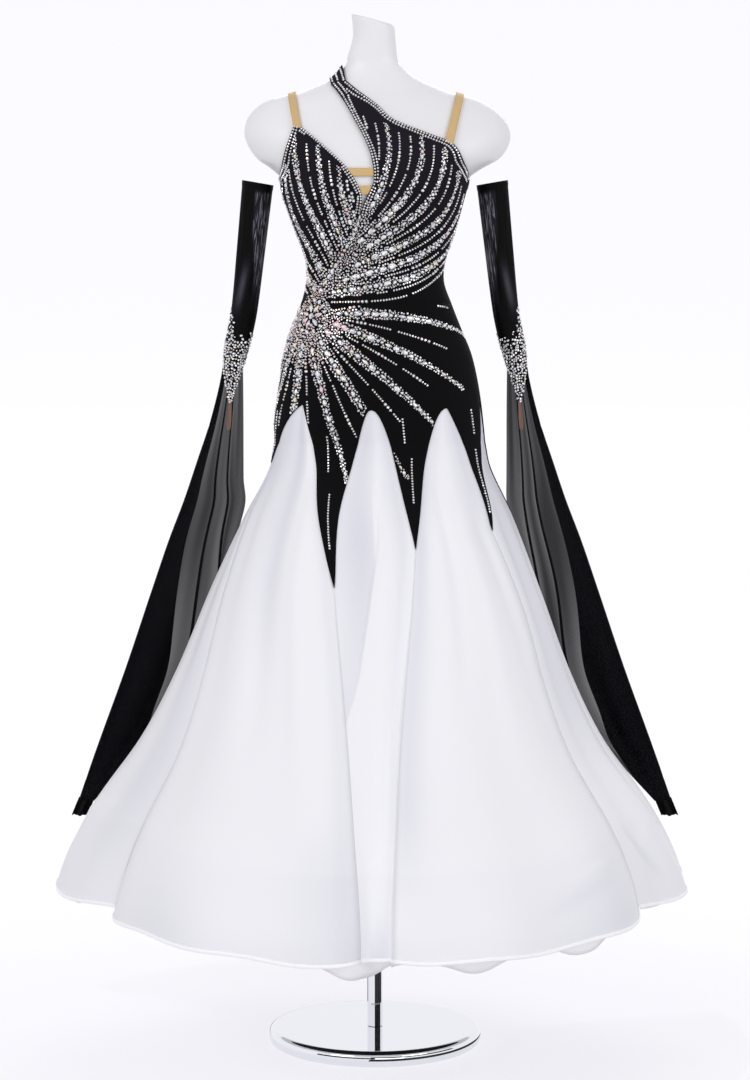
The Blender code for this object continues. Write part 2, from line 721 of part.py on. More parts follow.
def finger_loop(collection, name, side, top, finish):
    """A loop of thin elastic that hangs under the cuff's point."""
    curve = bpy.data.curves.new(name, "CURVE")
    curve.dimensions = "3D"
    curve.bevel_depth = LOOP_CORD
    curve.bevel_resolution = 1
    spline = curve.splines.new("POLY")
    spline.points.add(LOOP_POINTS - 1)
    spline.use_cyclic_u = True
    half_width, half_length = 0.5 * LOOP_WIDTH - LOOP_CORD, 0.5 * LOOP_LENGTH - LOOP_CORD
    middle = top - Vector((0.0, 0.0, half_length + LOOP_CORD))
    facing = math.radians(LOOP_TURN)
    for i, point in enumerate(spline.points):
        turn = math.tau * i / LOOP_POINTS
        across, up = half_width * math.sin(turn), math.cos(turn)
        x = side * (across * math.cos(facing) + LOOP_LEAN * (1 - up))
        offset = Vector((x, across * math.sin(facing), half_length * up))
        point.co = (*(middle + offset), 1.0)
    made = bpy.data.objects.new(name, curve)
    made.data.materials.append(finish)
    collection.objects.link(made)


def build_float(collection, name, side, finish):
    """The long float from the back of the cuff to its gathered tail, and the tail's ruffle."""
    highest, lowest = FLOAT[0][0], FLOAT[-1][0]

    def surface(u, height):
        outer, inner = float_edges(side, height)
        if side > 0:
            outer, inner = inner, outer
        point = outer.lerp(inner, u)
        down = ease((highest - height) / FOLDS_GROW) * ease((height - lowest) / FOLDS_FADE)
        point.y += FLOAT_WAVE * down * math.sin(math.tau * FLOAT_WAVES * u) * math.sin(math.pi * u)
        top = sleeve_ring(side, mix(-0.5, -1.5, u) * math.pi, height)
        return point.lerp(top, ease((height - highest) / FLOAT_JOIN + 1))

    def place(u, v):
        return u, mix(lowest, highest, v)

    bm = bmesh.new()
    flat_grid(bm, FLOAT_COLUMNS, FLOAT_ROWS, place)
    wrap(collection, f"sleeve_{name}_float", bm, surface, -0.5 * SATIN, 0.5 * SATIN, finish)

    ends = [surface(share, lowest) for share in (0.0, 1.0)]
    swings = TAIL_SWINGS if side > 0 else TAIL_SWINGS[::-1]

    def ruffle(u, height):
        down = (lowest - height) / TAIL_LENGTH
        left, right = (end.x + side * swing * down for end, swing in zip(ends, swings))
        y = mix(ends[0].y, ends[1].y, u) + TAIL_RUFFLE * down * math.sin(math.tau * 2 * u)
        return Vector((mix(left, right, u), y, height))

    bm = bmesh.new()
    high = lowest - 2 * SEAM
    flat_grid(bm, TAIL_COLUMNS, TAIL_ROWS, lambda u, v: (u, mix(high - TAIL_LENGTH, high, v)))
    wrap(collection, f"sleeve_{name}_tail", bm, ruffle, -0.5 * SATIN, 0.5 * SATIN, finish)


# ---- The dress form and its stand


def turned(collection, name, profile, steps, finish):
    """A turned piece, from radii and heights down its outer side."""
    mesh = bpy.data.meshes.new(name)
    mesh.from_pydata(
        [(radius, 0.0, height) for radius, height in profile],
        [(i, i + 1) for i in range(len(profile) - 1)],
        [],
    )
    made = bpy.data.objects.new(name, mesh)
    screw = made.modifiers.new("turned", "SCREW")
    screw.steps = screw.render_steps = steps
    screw.use_merge_vertices = True
    screw.merge_threshold = 0.00001
    made.data.materials.append(finish)
    collection.objects.link(made)


def build_form(collection, finishes):
    low = FORM_BOTTOM
    heights = [low + FORM_ROUNDING * share for share in (0.0, 0.4, 1.0)]
    keys = [low + FORM_ROUNDING] + [row[0] for row in FIGURE if row[0] > low + FORM_ROUNDING]
    for lower, upper in zip(keys, keys[1:]):
        limit = next(step for height, step in FORM_STEPS if lower < height)
        parts = math.ceil((upper - lower) / limit)
        heights += [mix(lower, upper, (i + 1) / parts) for i in range(parts)]
    last = len(heights) - 1

    def place(u, v):
        return math.tau * u, heights[round(v * last)]

    def surface(angle, height):
        clearance = mix(HIP_CLEARANCE, FORM_CLEARANCE, ease((height - HIP_TOP) / HIP_BLEND + 1))
        clearance += FORM_TUCK * (1 - min((height - low) / FORM_ROUNDING, 1.0)) ** 2
        point = lifted(figure, angle, height, -clearance)
        point.z = height - NECK_CUT_TILT * point.x * ease((height - NECK_CUT_START) / NECK_CUT_GROWS)
        return point

    bm = bmesh.new()
    flat_grid(bm, FORM_COLUMNS, last, place)
    for vertex in bm.verts:
        vertex.co = surface(vertex.co.x, vertex.co.y)
    bmesh.ops.remove_doubles(bm, verts=bm.verts, dist=1e-6)
    bmesh.ops.holes_fill(bm, edges=[edge for edge in bm.edges if edge.is_boundary])
    bmesh.ops.recalc_face_normals(bm, faces=bm.faces)
    add_object(collection, "form_torso", bm, finishes["form_white"])

    steel = finishes["chrome"]
    flange_top = low - SEAM
    flange_low = flange_top - FLANGE_HEIGHT
    discs = (
        ("stand_flange", FLANGE_RADIUS, flange_low, flange_top, 32),
        ("stand_pole", POLE_RADIUS, BASE_HEIGHT + SEAM, flange_low - SEAM, 24),
    )
    for name, radius, bottom, top, steps in discs:
        profile = ((0.0, top), (radius, top), (radius, bottom), (0.0, bottom))
        turned(collection, name, profile, steps, steel)
    middle, flat = 0.5 * BASE_HEIGHT, BASE_RADIUS - BASE_EDGE
    profile = [(0.0, BASE_HEIGHT)]
    for i in range(BASE_EDGE_STEPS + 1):
        turn = math.pi * i / BASE_EDGE_STEPS
        profile.append((flat + BASE_EDGE * math.sin(turn), middle + middle * math.cos(turn)))
    profile.append((0.0, 0.0))
    turned(collection, "stand_base", profile, 48, steel)


def main():
    for item in list(bpy.data.objects):
        bpy.data.objects.remove(item)
    collection = bpy.data.collections.new("ballroom_dress_on_form")
    bpy.context.scene.collection.children.link(collection)
    finishes = {
        "black_velvet": material("black_velvet", (0.008, 0.008, 0.010), 0.85),
        "white_satin": material("white_satin", (0.86, 0.87, 0.90), 0.45),
        "crin_mesh": material("crin_mesh", (0.80, 0.81, 0.84), 0.55),
        "black_mesh": material("black_mesh", (0.012, 0.012, 0.014), 0.80),
        "black_chiffon": material("black_chiffon", (0.010, 0.010, 0.013), 0.75),
        "nude_elastic": material("nude_elastic", (0.68, 0.40, 0.13), 0.60),
        "form_white": material("form_white", (0.88, 0.88, 0.89), 0.18),
        "chrome": material("chrome", (0.80, 0.81, 0.83), 0.06, metallic=1.0),
    }
    build_bodice(collection, finishes)
    build_straps(collection, finishes)
    build_skirt(collection, finishes)
    build_sleeves(collection, finishes)
    build_form(collection, finishes)


main()
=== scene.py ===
import math
import random
from bisect import bisect_right
from itertools import product

import bmesh
import bpy
from mathutils import Matrix, Vector


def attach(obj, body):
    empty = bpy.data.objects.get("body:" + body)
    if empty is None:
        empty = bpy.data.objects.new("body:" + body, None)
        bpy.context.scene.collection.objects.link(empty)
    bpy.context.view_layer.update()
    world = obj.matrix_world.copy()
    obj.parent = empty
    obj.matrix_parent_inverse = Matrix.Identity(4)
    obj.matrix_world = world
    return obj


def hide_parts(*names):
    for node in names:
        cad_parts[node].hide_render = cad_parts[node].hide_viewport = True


# Metres, +Z up, the front faces -Y. Angles go round the figure from the front towards +X.
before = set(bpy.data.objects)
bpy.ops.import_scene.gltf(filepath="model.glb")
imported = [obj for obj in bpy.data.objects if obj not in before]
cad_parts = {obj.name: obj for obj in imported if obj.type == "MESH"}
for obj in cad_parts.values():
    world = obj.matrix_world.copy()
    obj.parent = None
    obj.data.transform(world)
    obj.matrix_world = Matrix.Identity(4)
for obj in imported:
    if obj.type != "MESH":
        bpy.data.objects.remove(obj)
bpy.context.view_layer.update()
print("frame loaded")


# camera, light and floor

studio = {
    "cameraAt": (0.0, -4.816, 1.285),
    "cameraTilt": 5.674,         # degrees below level
    "lens": 102.23,
    "worldStrength": 0.52,
    "floorRadius": 24.0,
    "floorFlat": 0.72,           # of the radius, the share that lies flat
    "floorTurn": 0.28,           # and the share where it turns up
    "domeRise": 0.8,
    "floorDrop": 0.0005,         # how far the paper lies under the base
    # the paper is lit and shaded near the stand, and further off it glows evenly: radius of the lit
    # part, radius where only the glow is left, then the colour and the glow of each
    "paperLit": (0.50, 1.60),
    "paperColours": ("9f9fa2", "434345"),
    "paperGlows": ("d2d1d5", "f5f4f8"),
    # dark cards that only mirrors see, for the bands in the chrome: bearing from and to in degrees to
    # the right of the front, distance and height of the near edge and of the far edge, tone
    "cards": (
        (-4, 108, 0.20, 0.001, 0.60, 0.001, "030304"),
        (-4, 88, 1.30, 0.24, 1.30, 0.52, "030304"),
        (-178, -126, 0.20, 0.001, 0.60, 0.001, "77777b"),
        # a flat dark disc under the hem, standing in for the shade inside the skirt as the chrome sees it
        (-180, 180, 0.0, 0.232, 0.30, 0.232, "060607"),
        (-62, 0, 2.60, 0.0, 2.60, 0.60, "0c0c0e"),
    ),
    "lamps": (              # name, place, aim, size, power
        ("keyLeft", (-3.2, -4.2, 3.6), (0.0, 0.0, 0.9), (2.6, 2.6), 66),
        ("fillRight", (3.6, -3.6, 2.4), (0.0, 0.0, 0.8), (2.6, 2.6), 38),
        ("rimBack", (0.6, 3.6, 3.4), (0.0, 0.0, 1.0), (3.0, 2.0), 50),
        ("floorBounce", (0.2, -4.6, 0.15), (0.0, 0.0, 1.3), (5.0, 1.0), 20),
    ),
}


# one sRGB hex colour as linear values
def linear(code):
    values = [int(code[i:i + 2], 16) / 255 for i in (0, 2, 4)]
    return [v / 12.92 if v <= 0.04045 else ((v + 0.055) / 1.055) ** 2.4 for v in values]


def mix(a, b, t):
    return a + (b - a) * t


def ease(t):
    t = min(max(t, 0.0), 1.0)
    return t * t * (3 - 2 * t)


# adds a node with its settings, what its inputs read, and the shader's socket that it goes into;
# a ramp's stops are places and hex colours
def addNode(tree, kind, settings=(), reads=(), into=None):
    node = tree.nodes.new(kind)
    for key, value in dict(settings).items():
        if key == "stops":
            stops = node.color_ramp.elements
            while len(stops) < len(value):
                stops.new(0.5)
            for stop, (at, code) in zip(stops, value):
                stop.position = at
                stop.color = (*linear(code), 1.0)
        elif isinstance(key, int) or key in node.inputs:
            node.inputs[key].default_value = value
        else:
            setattr(node, key, value)
    for key, source in dict(reads).items():
        tree.links.new(source.outputs[0] if isinstance(source, bpy.types.Node) else source, node.inputs[key])
    if into:
        tree.links.new(node.outputs[0], tree.nodes["Principled BSDF"].inputs[into])
    return node


# a material and its nodes; an underscore stands for a space in a socket's name
def newMaterial(name, colour, roughness, metallic=0.0, **more):
    made = bpy.data.materials.new(name)
    made.use_nodes = True
    sockets = made.node_tree.nodes["Principled BSDF"].inputs
    for key, value in {"Base_Color": colour, "Roughness": roughness, "Metallic": metallic, **more}.items():
        socket = sockets[key.replace("_", " ")]
        socket.default_value = (*linear(value), 1.0) if isinstance(value, str) else value
    return made, made.node_tree


# an object of a finished bmesh, which is freed
def addObject(name, bm, finish):
    mesh = bpy.data.meshes.new(name)
    bm.to_mesh(mesh)
    bm.free()
    mesh.materials.append(finish)
    made = bpy.data.objects.new(name, mesh)
    bpy.context.scene.collection.objects.link(made)
    return made


# a shape turned from radii and heights down its outer side
def spinProfile(profile, steps, merge):
    bm = bmesh.new()
    rim = [bm.verts.new((radius, 0.0, height)) for radius, height in profile]
    edges = [bm.edges.new(pair) for pair in zip(rim, rim[1:])]
    bmesh.ops.spin(bm, geom=rim + edges, cent=(0, 0, 0), axis=(0, 0, 1), angle=math.tau, steps=steps,
                   use_merge=True)
    bmesh.ops.remove_doubles(bm, verts=bm.verts, dist=merge)
    bmesh.ops.recalc_face_normals(bm, faces=bm.faces)
    return bm


def softLight(name, place, aim, size, power):
    data = bpy.data.lights.new(name, "AREA")
    data.shape = "RECTANGLE"
    data.size, data.size_y = size
    data.energy = power
    lamp = bpy.data.objects.new(name, data)
    lamp.location = place
    lamp.rotation_euler = (Vector(aim) - Vector(place)).to_track_quat("-Z", "Y").to_euler()
    bpy.context.scene.collection.objects.link(lamp)


# one wide disc of bright paper that turns up into a dome all round
def buildPaper():
    radius, flat, turned = studio["floorRadius"], studio["floorFlat"], studio["floorTurn"]
    turns = [0.5 * math.pi * i / 12 for i in range(1, 13)]
    profile = [(0.0, 0.0), (radius * 0.4, 0.0), (radius * flat, 0.0)]
    profile += [(radius * (flat + turned * math.sin(turn)), radius * turned * (1 - math.cos(turn)))
                for turn in turns]
    profile += [(max(radius * math.cos(turn), 0.0), radius * (turned + studio["domeRise"] * math.sin(turn)))
                for turn in turns]
    bm = spinProfile([(away, height - studio["floorDrop"]) for away, height in profile], 64, 1e-4)
    bmesh.ops.reverse_faces(bm, faces=bm.faces)
    made, tree = newMaterial("seamlessPaper", "9f9fa2", 0.9, Emission_Strength=1.0)
    place = addNode(tree, "ShaderNodeTexCoord").outputs["Object"]
    flat = addNode(tree, "ShaderNodeMapping", {"Scale": (1.0, 1.0, 0.0)}, {"Vector": place})
    away = addNode(tree, "ShaderNodeVectorMath", {"operation": "LENGTH"}, {0: flat}).outputs["Value"]
    near, far = studio["paperLit"]
    share = addNode(tree, "ShaderNodeMapRange",
                    {"interpolation_type": "SMOOTHSTEP", "From Min": near, "From Max": far}, {"Value": away})
    for socket, pair in (("Base Color", studio["paperColours"]), ("Emission Color", studio["paperGlows"])):
        addNode(tree, "ShaderNodeValToRGB", {"stops": tuple(enumerate(pair))}, {"Fac": share}, socket)
    paper = addObject("studioPaper", bm, made)
    paper.data.shade_smooth()
    paper.visible_shadow = False
    paper.visible_diffuse = False


def buildCard(number, start, end, near, low, far, high, tone):
    bm = bmesh.new()
    for corner in bmesh.ops.create_grid(bm, x_segments=32, y_segments=1, size=0.5)["verts"]:
        turn, up = math.radians(mix(start, end, corner.co.x + 0.5)), corner.co.y + 0.5
        away = mix(near, far, up)
        corner.co = (away * math.sin(turn), -away * math.cos(turn), mix(low, high, up))
    card = addObject(f"mirrorCard{number}", bm, newMaterial(f"cardFelt{number}", tone, 1.0)[0])
    for way in ("camera", "diffuse", "transmission", "volume_scatter", "shadow"):
        setattr(card, "visible_" + way, False)


def buildStudio():
    scene = bpy.context.scene
    scene.view_settings.view_transform = "Standard"
    scene.view_settings.look = "None"
    data = bpy.data.cameras.new("studioCamera")
    data.lens = studio["lens"]
    data.sensor_width = 36.0
    data.sensor_height = 36.0
    data.sensor_fit = "VERTICAL"
    data.clip_end = 200.0
    camera = bpy.data.objects.new("studioCamera", data)
    camera.location = studio["cameraAt"]
    camera.rotation_euler = (math.radians(90 - studio["cameraTilt"]), 0.0, 0.0)
    scene.collection.objects.link(camera)
    scene.camera = camera

    world = bpy.data.worlds.new("studioWorld")
    scene.world = world
    world.use_nodes = True
    sky = world.node_tree.nodes["Background"]
    sky.inputs["Color"].default_value = (*linear("fbfaff"), 1.0)
    sky.inputs["Strength"].default_value = studio["worldStrength"]

    buildPaper()
    for number, card in enumerate(studio["cards"], 1):
        buildCard(number, *card)
    for lamp in studio["lamps"]:
        softLight(*lamp)


buildStudio()
print("studio ready")


# the figure and the skirt's form, the same as the frame's

figureRows = (          # height, sideways shift, half width, depth in front, depth behind
    (0.780, 0.006, 0.1500, 0.086, 0.096),
    (0.860, 0.007, 0.1590, 0.094, 0.110),
    (0.944, 0.008, 0.1640, 0.100, 0.123),
    (1.000, 0.006, 0.1620, 0.102, 0.128),
    (1.053, 0.006, 0.1545, 0.100, 0.120),
    (1.100, 0.004, 0.1455, 0.096, 0.103),
    (1.137, 0.002, 0.1325, 0.091, 0.088),
    (1.175, 0.002, 0.1175, 0.085, 0.077),
    (1.214, 0.000, 0.1062, 0.080, 0.072),
    (1.250, 0.001, 0.1090, 0.081, 0.073),
    (1.298, 0.000, 0.1262, 0.088, 0.084),
    (1.345, -0.002, 0.1410, 0.096, 0.096),
    (1.362, -0.001, 0.1455, 0.098, 0.100),
    (1.376, 0.000, 0.1520, 0.099, 0.102),
    (1.389, 0.002, 0.1680, 0.099, 0.103),
    (1.405, 0.005, 0.1930, 0.098, 0.103),
    (1.427, 0.005, 0.2085, 0.092, 0.101),
    (1.448, 0.003, 0.2110, 0.083, 0.097),
    (1.474, 0.000, 0.1965, 0.068, 0.090),
    (1.495, -0.001, 0.1645, 0.054, 0.082),
    (1.505, 0.000, 0.1255, 0.046, 0.077),
    (1.526, 0.000, 0.0712, 0.035, 0.069),
    (1.548, -0.003, 0.0467, 0.030, 0.061),
    (1.561, -0.004, 0.0432, 0.030, 0.055),
    (1.590, -0.001, 0.0378, 0.034, 0.046),
    (1.616, -0.003, 0.0380, 0.038, 0.043),
)
figureShape = {
    "fullness": 0.10,            # how much squarer than an ellipse the sections are
    "bustHeight": 1.352,
    "bustApart": 0.070,
    "bustWidth": 0.052,
    "bustTall": 0.052,
    "bustDepth": 0.026,
}
flareRows = (           # the skirt's outline over its folds, in the same columns
    (0.200, 0.000, 0.518, 0.500, 0.515),
    (0.270, 0.000, 0.504, 0.486, 0.500),
    (0.335, 0.000, 0.477, 0.452, 0.466),
    (0.395, 0.000, 0.440, 0.412, 0.428),
    (0.487, 0.000, 0.372, 0.345, 0.362),
    (0.593, 0.001, 0.317, 0.284, 0.302),
    (0.728, 0.003, 0.263, 0.214, 0.236),
    (0.850, 0.005, 0.210, 0.150, 0.177),
    (0.920, 0.007, 0.174, 0.112, 0.138),
    (0.962, 0.0075, 0.1642, 0.1010, 0.1252),
)
skirtSeams = (          # tip angle and height, hem angle and height, crease depth, widths, drift
    (-82, 0.930, -60.0, 0.264, 0.050, 0.070, 0.050, 0.62),
    (-14, 0.752, -2.4, 0.236, 0.040, 0.020, 0.060, 0.50),
    (13.5, 0.808, 3.0, 0.236, 0.030, 0.034, 0.040, 0.54),
    (51, 0.830, 60.0, 0.262, 0.050, 0.050, 0.070, 0.18),
    (97, 0.850, 89.0, 0.268, 0.040, 0.050, 0.035, 0.30),
    (138, 0.830, 138.0, 0.258, 0.052, 0.040, 0.060, 0.18),
    (180, 0.790, 180.0, 0.248, 0.048, 0.050, 0.050, 0.18),
    (222, 0.830, 222.0, 0.262, 0.052, 0.060, 0.040, 0.18),
)
skirtArches = (         # top angle, height, bow of each edge, waves, depth, phase, sink, belly of each edge
    (-44.5, 1.024, 0.78, 0.85, 2.0, 0.012, 0.10, 0.000, 0.0, 0.0),
    (-4, 1.017, 0.42, 0.48, 1.0, 0.004, 0.30, 0.016, -3.8, 0.0),
    (38, 1.019, 0.48, 0.64, 2.0, 0.012, 0.40, 0.000, 0.0, 7.0),
    (77, 1.026, 1.20, 0.60, 1.0, 0.016, 0.20, 0.000, 0.0, 0.0),
    (117, 1.026, 0.60, 0.60, 1.0, 0.014, 0.60, 0.000, 0.0, 0.0),
    (159, 1.026, 0.60, 0.60, 2.0, 0.010, 0.10, 0.000, 0.0, 0.0),
    (201, 1.026, 0.60, 0.60, 2.0, 0.011, 0.55, 0.000, 0.0, 0.0),
    (250, 1.026, 0.60, 0.60, 1.0, 0.016, 0.35, 0.000, 0.0, 0.0),
)
# soft troughs (+) and ridges (-) on each gore: share at the top and at the hem, depth, half width,
# and where on the way down they start and end
skirtCreases = (
    ((0.22, 0.16, 0.007, 0.10, 0.02, 1.0), (0.56, 0.52, 0.006, 0.08, 0.00, 0.8),
     (0.76, 0.80, -0.005, 0.06, 0.00, 0.85), (0.92, 0.90, 0.004, 0.04, 0.10, 1.2)),
    ((0.70, 0.66, -0.004, 0.08, 0.0, 0.9), (0.90, 0.84, 0.005, 0.06, 0.05, 0.8)),
    ((0.16, 0.12, 0.006, 0.07, 0.1, 0.9), (0.36, 0.33, 0.005, 0.07, 0.0, 0.7),
     (0.58, 0.60, -0.004, 0.08, 0.1, 0.9), (0.80, 0.86, 0.007, 0.09, 0.1, 1.0)),
    ((0.32, 0.26, 0.009, 0.16, 0.05, 1.2), (0.70, 0.74, 0.008, 0.14, 0.1, 1.0)),
    ((0.28, 0.24, 0.008, 0.12, 0.0, 1.1), (0.66, 0.72, 0.007, 0.12, 0.1, 1.0)),
    ((0.24, 0.20, 0.007, 0.10, 0.0, 0.9), (0.52, 0.50, -0.005, 0.09, 0.1, 1.0),
     (0.80, 0.84, 0.008, 0.10, 0.05, 1.1)),
    ((0.18, 0.16, 0.008, 0.09, 0.05, 1.0), (0.48, 0.46, 0.006, 0.10, 0.0, 0.8),
     (0.76, 0.80, -0.005, 0.09, 0.1, 1.0)),
    ((0.14, 0.10, 0.008, 0.07, 0.1, 1.1), (0.34, 0.30, 0.007, 0.08, 0.0, 0.9),
     (0.56, 0.56, -0.005, 0.07, 0.1, 1.0), (0.80, 0.84, 0.009, 0.09, 0.05, 1.2)),
)
# a small pleat laid over in a gore: share of the width at places down the gore, how deep its step is
gorePleats = {1: (((0.00, 0.46), (0.27, 0.50), (0.50, 0.25), (0.62, -0.10)), 0.0036)}
pleatShape = {          # in shares of the gore's width and height
    "startsAt": 0.12,
    "startsOver": 0.15,
    "endsOver": 0.05,
    "stepWidth": 0.035,
    "rimAside": 0.05,            # a light rim stands up beside the step
    "rimWidth": 0.04,
    "rimRise": 0.45,             # of the step
    # painted shade in the step, how it fades and how far it reaches, and a painted highlight on the rim
    "shade": 0.40,
    "shadeFades": 0.7,
    "shadeReach": 0.5,
    "paintedRimHighlight": 0.30,
}
# short crinkles where the crin braid buckles: share and place down of both ends, depth, width in metres
crinkleSpan = (0.34, 0.76)       # metres across and down a gore where they lie
crinkleEnds = (0.12, 0.88)       # how much of a half wave each one shows
goreCrinkles = {
    2: ((0.62, 0.885, 0.86, 0.860, -0.0016, 0.005), (0.50, 0.935, 0.80, 0.900, 0.0018, 0.010)),
    3: ((0.20, 0.78, 0.62, 0.84, -0.0030, 0.006), (0.30, 0.88, 0.74, 0.815, -0.0026, 0.006),
        (0.16, 0.85, 0.40, 0.945, 0.0034, 0.012), (0.66, 0.72, 0.86, 0.92, -0.0022, 0.006)),
    7: ((0.30, 0.82, 0.62, 0.90, 0.0028, 0.012), (0.52, 0.86, 0.84, 0.80, -0.0020, 0.007)),
}
skirtShape = {
    "waist": 1.178,
    "hipLine": 0.962,
    "armhole": 1.362,
    "backScoop": 0.075,
    "scoopStart": 1.05,
    "hemBand": 0.125,
    "hemHeight": 0.250,
    "reliefPower": 1.25,
    "driftPower": 1.6,
    "hemDip": 0.004,
    "roundBelow": 0.50,
    "roundBlend": 0.40,
    "hemRadius": 0.50,
    "flounceHeight": 0.475,
    "flounceInsets": (0.0045, 0.011, 0.013),
    "flounceDrops": (0.000, 0.003),
    "softBelow": 0.68,
    "softBlend": 0.25,
    "creaseFade": 0.30,          # over what share of the way down a crease comes and goes
    "fineBlend": 0.10,           # metres below the hips by which the fine folds are full
}
goreCount = len(skirtSeams)
goreSoftening = {1: 0.34, 3: 0.15}      # how much of a seam's depth is lost on the way to the hem


# a table's columns at one height, on smooth curves through its rows
def smoothRow(rows, at):
    keys = [row[0] for row in rows]
    at = min(max(at, keys[0]), keys[-1])
    low = min(max(bisect_right(keys, at) - 1, 0), len(rows) - 2)
    step = keys[low + 1] - keys[low]
    t = (at - keys[low]) / step
    pullA, pullB = t**3 - 2 * t**2 + t, t**3 - t**2
    partB = 3 * t**2 - 2 * t**3
    before, after = max(low - 1, 0), min(low + 2, len(rows) - 1)
    spanA, spanB = keys[low + 1] - keys[before], keys[after] - keys[low]
    values = []
    for column in range(1, len(rows[0])):
        a, b = rows[low][column], rows[low + 1][column]
        slopeA = (b - rows[before][column]) / spanA
        slopeB = (rows[after][column] - a) / spanB
        values.append(mix(a, b, partB) + step * (slopeA * pullA + slopeB * pullB))
    return values


def onSection(section, angle, fullness, inset=0.0):
    shift, half, front, back = section
    sine, cosine = math.sin(angle), math.cos(angle)
    depth = front if cosine > 0 else back
    x = shift + (half - inset) * sine * (1 + fullness * cosine**2)
    return x, -(depth - inset) * cosine


def figurePoint(angle, height, inset=0.0):
    x, y = onSection(smoothRow(figureRows, height), angle, figureShape["fullness"], inset)
    if math.cos(angle) > 0:
        across = (abs(x) - figureShape["bustApart"]) / figureShape["bustWidth"]
        up = (height - figureShape["bustHeight"]) / figureShape["bustTall"]
        y -= figureShape["bustDepth"] * math.exp(-across**2 - up**2) * ease(3 * math.cos(angle))
    return Vector((x, y, height))


def normalAt(surface, angle, height):
    along = surface(angle + 0.01, height) - surface(angle - 0.01, height)
    up = surface(angle, height + 0.002) - surface(angle, height - 0.002)
    return along.cross(up).normalized()


def lifted(surface, angle, height, lift):
    return surface(angle, height) + normalAt(surface, angle, height) * lift


# the angle of the figure's front at x; past the side seam it is the side seam
def angleAt(x, height):
    shift, half = smoothRow(figureRows, height)[:2]
    sought = (x - shift) / half
    if abs(sought) >= 1:
        return math.copysign(math.pi / 2, sought)
    low, high = -math.pi / 2, math.pi / 2
    for _ in range(28):
        middle = (low + high) / 2
        if math.sin(middle) * (1 + figureShape["fullness"] * math.cos(middle) ** 2) < sought:
            low = middle
        else:
            high = middle
    return low


def seamAngle(number, height):
    turns, k = divmod(number, goreCount)
    tip, tipHeight, hem = skirtSeams[k][:3]
    share = min(max((tipHeight - height) / skirtSeams[k][7], 0.0), 1.0)
    return mix(tip, hem, 1 - (1 - share) ** skirtShape["driftPower"]) + 360 * turns


def seamValue(number, column):
    return skirtSeams[number % goreCount][column]


def tipHeightAt(number, share):
    return mix(seamValue(number, 1), seamValue(number + 1, 1), share)


def hemHeightAt(number, share):
    low = mix(seamValue(number, 3), seamValue(number + 1, 3), share)
    return low - skirtShape["hemDip"] * math.sin(math.pi * share)


def creaseAt(distance, width):
    return math.exp(-((abs(distance) / width) ** 1.4))


# how deep the folds are, at a share of a gore's width from its left seam, and a height
def reliefAt(number, share, height):
    start = tipHeightAt(number, share)
    down = (start - height) / (start - hemHeightAt(number, share))
    if down <= 0:
        return 0.0
    waves, depth, phase, sink = skirtArches[number % goreCount][4:8]
    hemWidth = math.radians(seamAngle(number + 1, 0.0) - seamAngle(number, 0.0)) * skirtShape["hemRadius"]
    low = ease((skirtShape["softBelow"] - height) / skirtShape["softBlend"])
    firm, firmNext = (1 - goreSoftening.get(k % goreCount, 0.0) * low for k in (number, number + 1))
    total = seamValue(number, 4) * creaseAt(share * hemWidth, seamValue(number, 6)) * firm
    right = creaseAt((1 - share) * hemWidth, seamValue(number + 1, 5))
    total += seamValue(number + 1, 4) * right * firmNext
    wave = 0.5 - 0.5 * math.cos(math.tau * (waves * share + phase))
    total += (depth * wave + sink) * math.sin(math.pi * share)
    return total * down ** skirtShape["reliefPower"]


# the soft troughs and ridges that run down a gore, from under the yoke
def fineFolds(number, share, height):
    top = skirtArches[number % goreCount][1]
    down = (top - height) / (top - hemHeightAt(number, share))
    total, over = 0.0, skirtShape["creaseFade"]
    for high, low, depth, width, first, last in skirtCreases[number % goreCount]:
        middle = mix(high, low, down)
        fade = ease((down - first) / over) * ease((last - down) / over)
        total += depth * math.exp(-(((share - middle) / width) ** 2)) * fade
    total += pleatAt(number, share, down)[0] + crinkleAt(number, share, down)
    return total * math.sin(math.pi * share) ** 0.5 if 0 < share < 1 else 0.0


# how far in the short crinkles lie at a point, measured to each one's middle line
def crinkleAt(number, share, down):
    total, (wide, tall) = 0.0, crinkleSpan
    for a, downA, b, downB, depth, width in goreCrinkles.get(number % goreCount, ()):
        across, along = (b - a) * wide, (downB - downA) * tall
        x, y = (share - a) * wide, (down - downA) * tall
        t = min(max((x * across + y * along) / (across * across + along * along), 0.0), 1.0)
        away = math.hypot(x - t * across, y - t * along)
        total += depth * math.exp(-((away / width) ** 2)) * math.sin(math.pi * mix(*crinkleEnds, t))
    return total


# how far in a gore's small pleat lies at a point, and its painted shade and painted highlight
def pleatAt(number, share, down):
    if number % goreCount not in gorePleats:
        return 0.0, 0.0
    line, depth = gorePleats[number % goreCount]
    if not line[0][0] < down < line[-1][0]:
        return 0.0, 0.0
    shape, edge = pleatShape, smoothRow(line, down)[0]
    fade = ease((down - shape["startsAt"]) / shape["startsOver"])
    fade *= ease((line[-1][0] - down) / shape["endsOver"])
    inside = ease((edge - share) / shape["stepWidth"] + 0.5) * fade
    rim = math.exp(-(((share - edge - shape["rimAside"]) / shape["rimWidth"]) ** 2)) * fade
    dark = shape["shade"] * inside * (1 - shape["shadeFades"] * ease((edge - share) / shape["shadeReach"]))
    return depth * (inside - shape["rimRise"] * rim), dark - shape["paintedRimHighlight"] * rim


